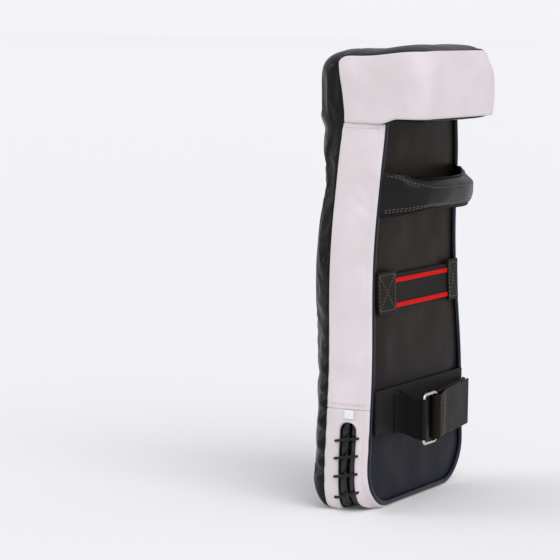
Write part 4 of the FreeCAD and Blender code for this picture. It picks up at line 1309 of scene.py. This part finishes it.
def makeStripStitches():
    # a topstitched row above the seam of each side strip, and one under the head seam
    y, up = gussetSection()
    keep = (y > pad["frontSeam"] + 0.5) & (y < rear - gusset["rearRound"] - 1)
    runs = [(raised(side * distance + 0 * y[keep], y[keep], up[keep] + 0.35), (side, 0, 0))
            for side in (1, -1) for distance in (seamDistance + 4.5, neckDistance - 4.0)]
    place(stitchRow("stripStitches", runs, stripThread), whiteThread, "white_cover")


def uprightRow(x, y, height, tall):
    # a run of stitches straight up a strap, facing back
    return ([(x, y, height - tall / 2), (x, y, height + tall / 2)], (0, 1, 0))


makeStripStitches()
bandRows = [uprightRow(side * x, rear + 2.4, arm["baseHeight"], arm["baseTall"] - 5)
            for side in (1, -1) for x in (84.0, 80.5)]
tabRows = [uprightRow(tabBar[0] + side * 6.0, rear + 3.75, arm["height"] + arm["tabDroop"],
                      tabHigh[2] - tabLow[2] - 5) for side in (1, -1)]
place(stitchRow("bandStitches", bandRows + tabRows, strapThread, shaped=False), blackThread, "webbing")
tongueFront = tonguePlan(peelLine[0] - 3.0, peelLine[0] - 7.0, tongueLift)
tongueRows = [uprightRow(x, y + arm["strapThick"] / 2 + 0.1, arm["height"], arm["strapTall"] - 5)
              for x, y in tongueFront[[0, -1], :2]]
place(stitchRow("tongueStitches", tongueRows, strapThread, shaped=False), blackThread, "black_strap",
      body="tongue")
print("sewing made")

# lace and label
lace = {"radius": 1.2, "pitch": 15.3, "bars": 20, "half": 10.6, "slant": 3.6, "inside": 6.3}


def makeLace():
    # one cord: out of a hole, across the slot, in, and back under the leather to the next hole
    points = []
    for number in range(lace["bars"]):
        middle = (number - (lace["bars"] - 1) / 2) * lace["pitch"]
        lowest = outlineAt(np.array(middle), 0, squareAt(-lace["half"]))[1]
        outside = -1.3 if lowest < 4.5 else gusset["bulge"] + 1.0
        for across in (-1, 1):
            reach = lace["half"] * across
            for level in (-lace["inside"], outside - 2.0, outside)[::-across]:
                point = raised(np.array(middle + lace["slant"] / 2 * across), reach, level, squareAt(reach))
                points.append((*point[:2], max(point[2], lace["radius"] + 0.1)))
    curve = bpy.data.curves.new("lacePath", "CURVE")
    curve.dimensions = "3D"
    spline = curve.splines.new("NURBS")
    spline.points.add(len(points) - 1)
    spline.points.foreach_set("co", np.column_stack([np.array(points) * mm, np.ones(len(points))]).ravel())
    spline.order_u = 3
    spline.use_endpoint_u = True
    curve.resolution_u = 5
    holder = bpy.data.objects.new("lacePath", curve)
    path = coordinates(bpy.data.meshes.new_from_object(holder)) / mm
    bpy.data.objects.remove(holder)
    along = unit(np.gradient(path, axis=0))
    side = np.cross(along, np.tile([0.31, 0.17, 0.93], (len(path), 1)))
    for _ in range(40):
        side[1:-1] = (side[:-2] + side[1:-1] + side[2:]) / 3
    side = unit(side - along * (side * along).sum(axis=1, keepdims=True))
    piece = sweep("lace", path, side, np.cross(along, side), lace["radius"] * circle(10))
    place(piece, laceCord, "lace_cord", replaced=["lace"])


def makeLabel():
    # a small blank cloth tab lying on the gusset
    low, high = cadBox("blank_label")
    s = outlineDistance((low[2] + high[2]) / 2) - 1.2 + np.linspace(-4, 4, 9)[:, None]
    s, y = s + np.zeros(10), np.linspace(-3.3, 5.7, 10) + 0 * s
    piece = gridObject("blankLabel", raised(s, y, gusset["bulge"] + 0.75), outside=(0, 0, 87),
                       uv=np.stack([s, y], axis=-1))
    place(piece, labelCloth, "label", replaced=["blank_label"], thick=0.5)


makeLace()
makeLabel()
print("lace and label made")

# floor, light and camera
studio = {
    "background": "F4F4F6",
    "eye": (2014.2, 947.7, 429.1),       # camera place
    "aim": (56.3, -91.2, 193.4),         # point it looks at
    "lens": 160.7,
    "roll": 0.75,
    "skyLight": 0.66,
    "floorGlow": 0.06,
    "suns": {"keyLight": ((0.7, 1.1, 1.3), 1.35, 50), "sideLight": ((0.5, -1.0, 0.6), 0.6, 40)},
}
floorMaterial, floorTree, floorShader = newMaterial("matt white painted board", "F2F2F4", 0.9)
floorNoise = addNode(floorTree, "TexNoise", {"Scale": 3.0, "Detail": 2.0})
floorShade = addNode(floorTree, "ValToRGB", [floorNoise], [(0.2, "EBEBEC"), (0.8, "EFEFF0")])
setInputs(floorShader, {"Base Color": floorShade, "Emission Color": linear("F4F4F8"),
                        "Emission Strength": studio["floorGlow"]})
bpy.ops.mesh.primitive_plane_add(size=80, location=(0, 0, 0))
floor = bpy.context.object
floor.name = "floor"
floor.data.materials.append(floorMaterial)
floor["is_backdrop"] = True

# the sky that is seen is as pale as the floor, and the sky that lights is softer
world = bpy.data.worlds.new("studio")
scene.world = world
world.use_nodes = True
sky = world.node_tree
soft = sky.nodes["Background"]
setInputs(soft, {"Color": linear("F6F6FA"), "Strength": studio["skyLight"]})
seen = addNode(sky, "Background", {"Color": linear(studio["background"]), "Strength": 1.0})
both = addNode(sky, "MixShader", [addNode(sky, "LightPath").outputs["Is Camera Ray"], soft, seen])
setInputs(sky.nodes["World Output"], {"Surface": both})


for name, (direction, power, spread) in studio["suns"].items():
    # an even light from a direction, with shadows as soft as its spread in degrees
    sun = bpy.data.lights.new(name, "SUN")
    sun.energy = power
    sun.angle = math.radians(spread)
    light = bpy.data.objects.new(name, sun)
    light.rotation_euler = (-Vector(direction)).to_track_quat("-Z", "Y").to_euler()
    scene.collection.objects.link(light)

camera = bpy.data.objects.new("camera", bpy.data.cameras.new("camera"))
scene.collection.objects.link(camera)
camera.location = Vector(studio["eye"]) * mm
camera.rotation_euler = (Vector(studio["aim"]) - Vector(studio["eye"])).to_track_quat("-Z", "Y").to_euler()
camera.rotation_euler.rotate_axis("Z", math.radians(studio["roll"]))
camera.data.lens = studio["lens"]
camera.data.clip_end = 200
scene.camera = camera
scene.view_settings.view_transform = "Standard"

low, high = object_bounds()
print("scene complete")
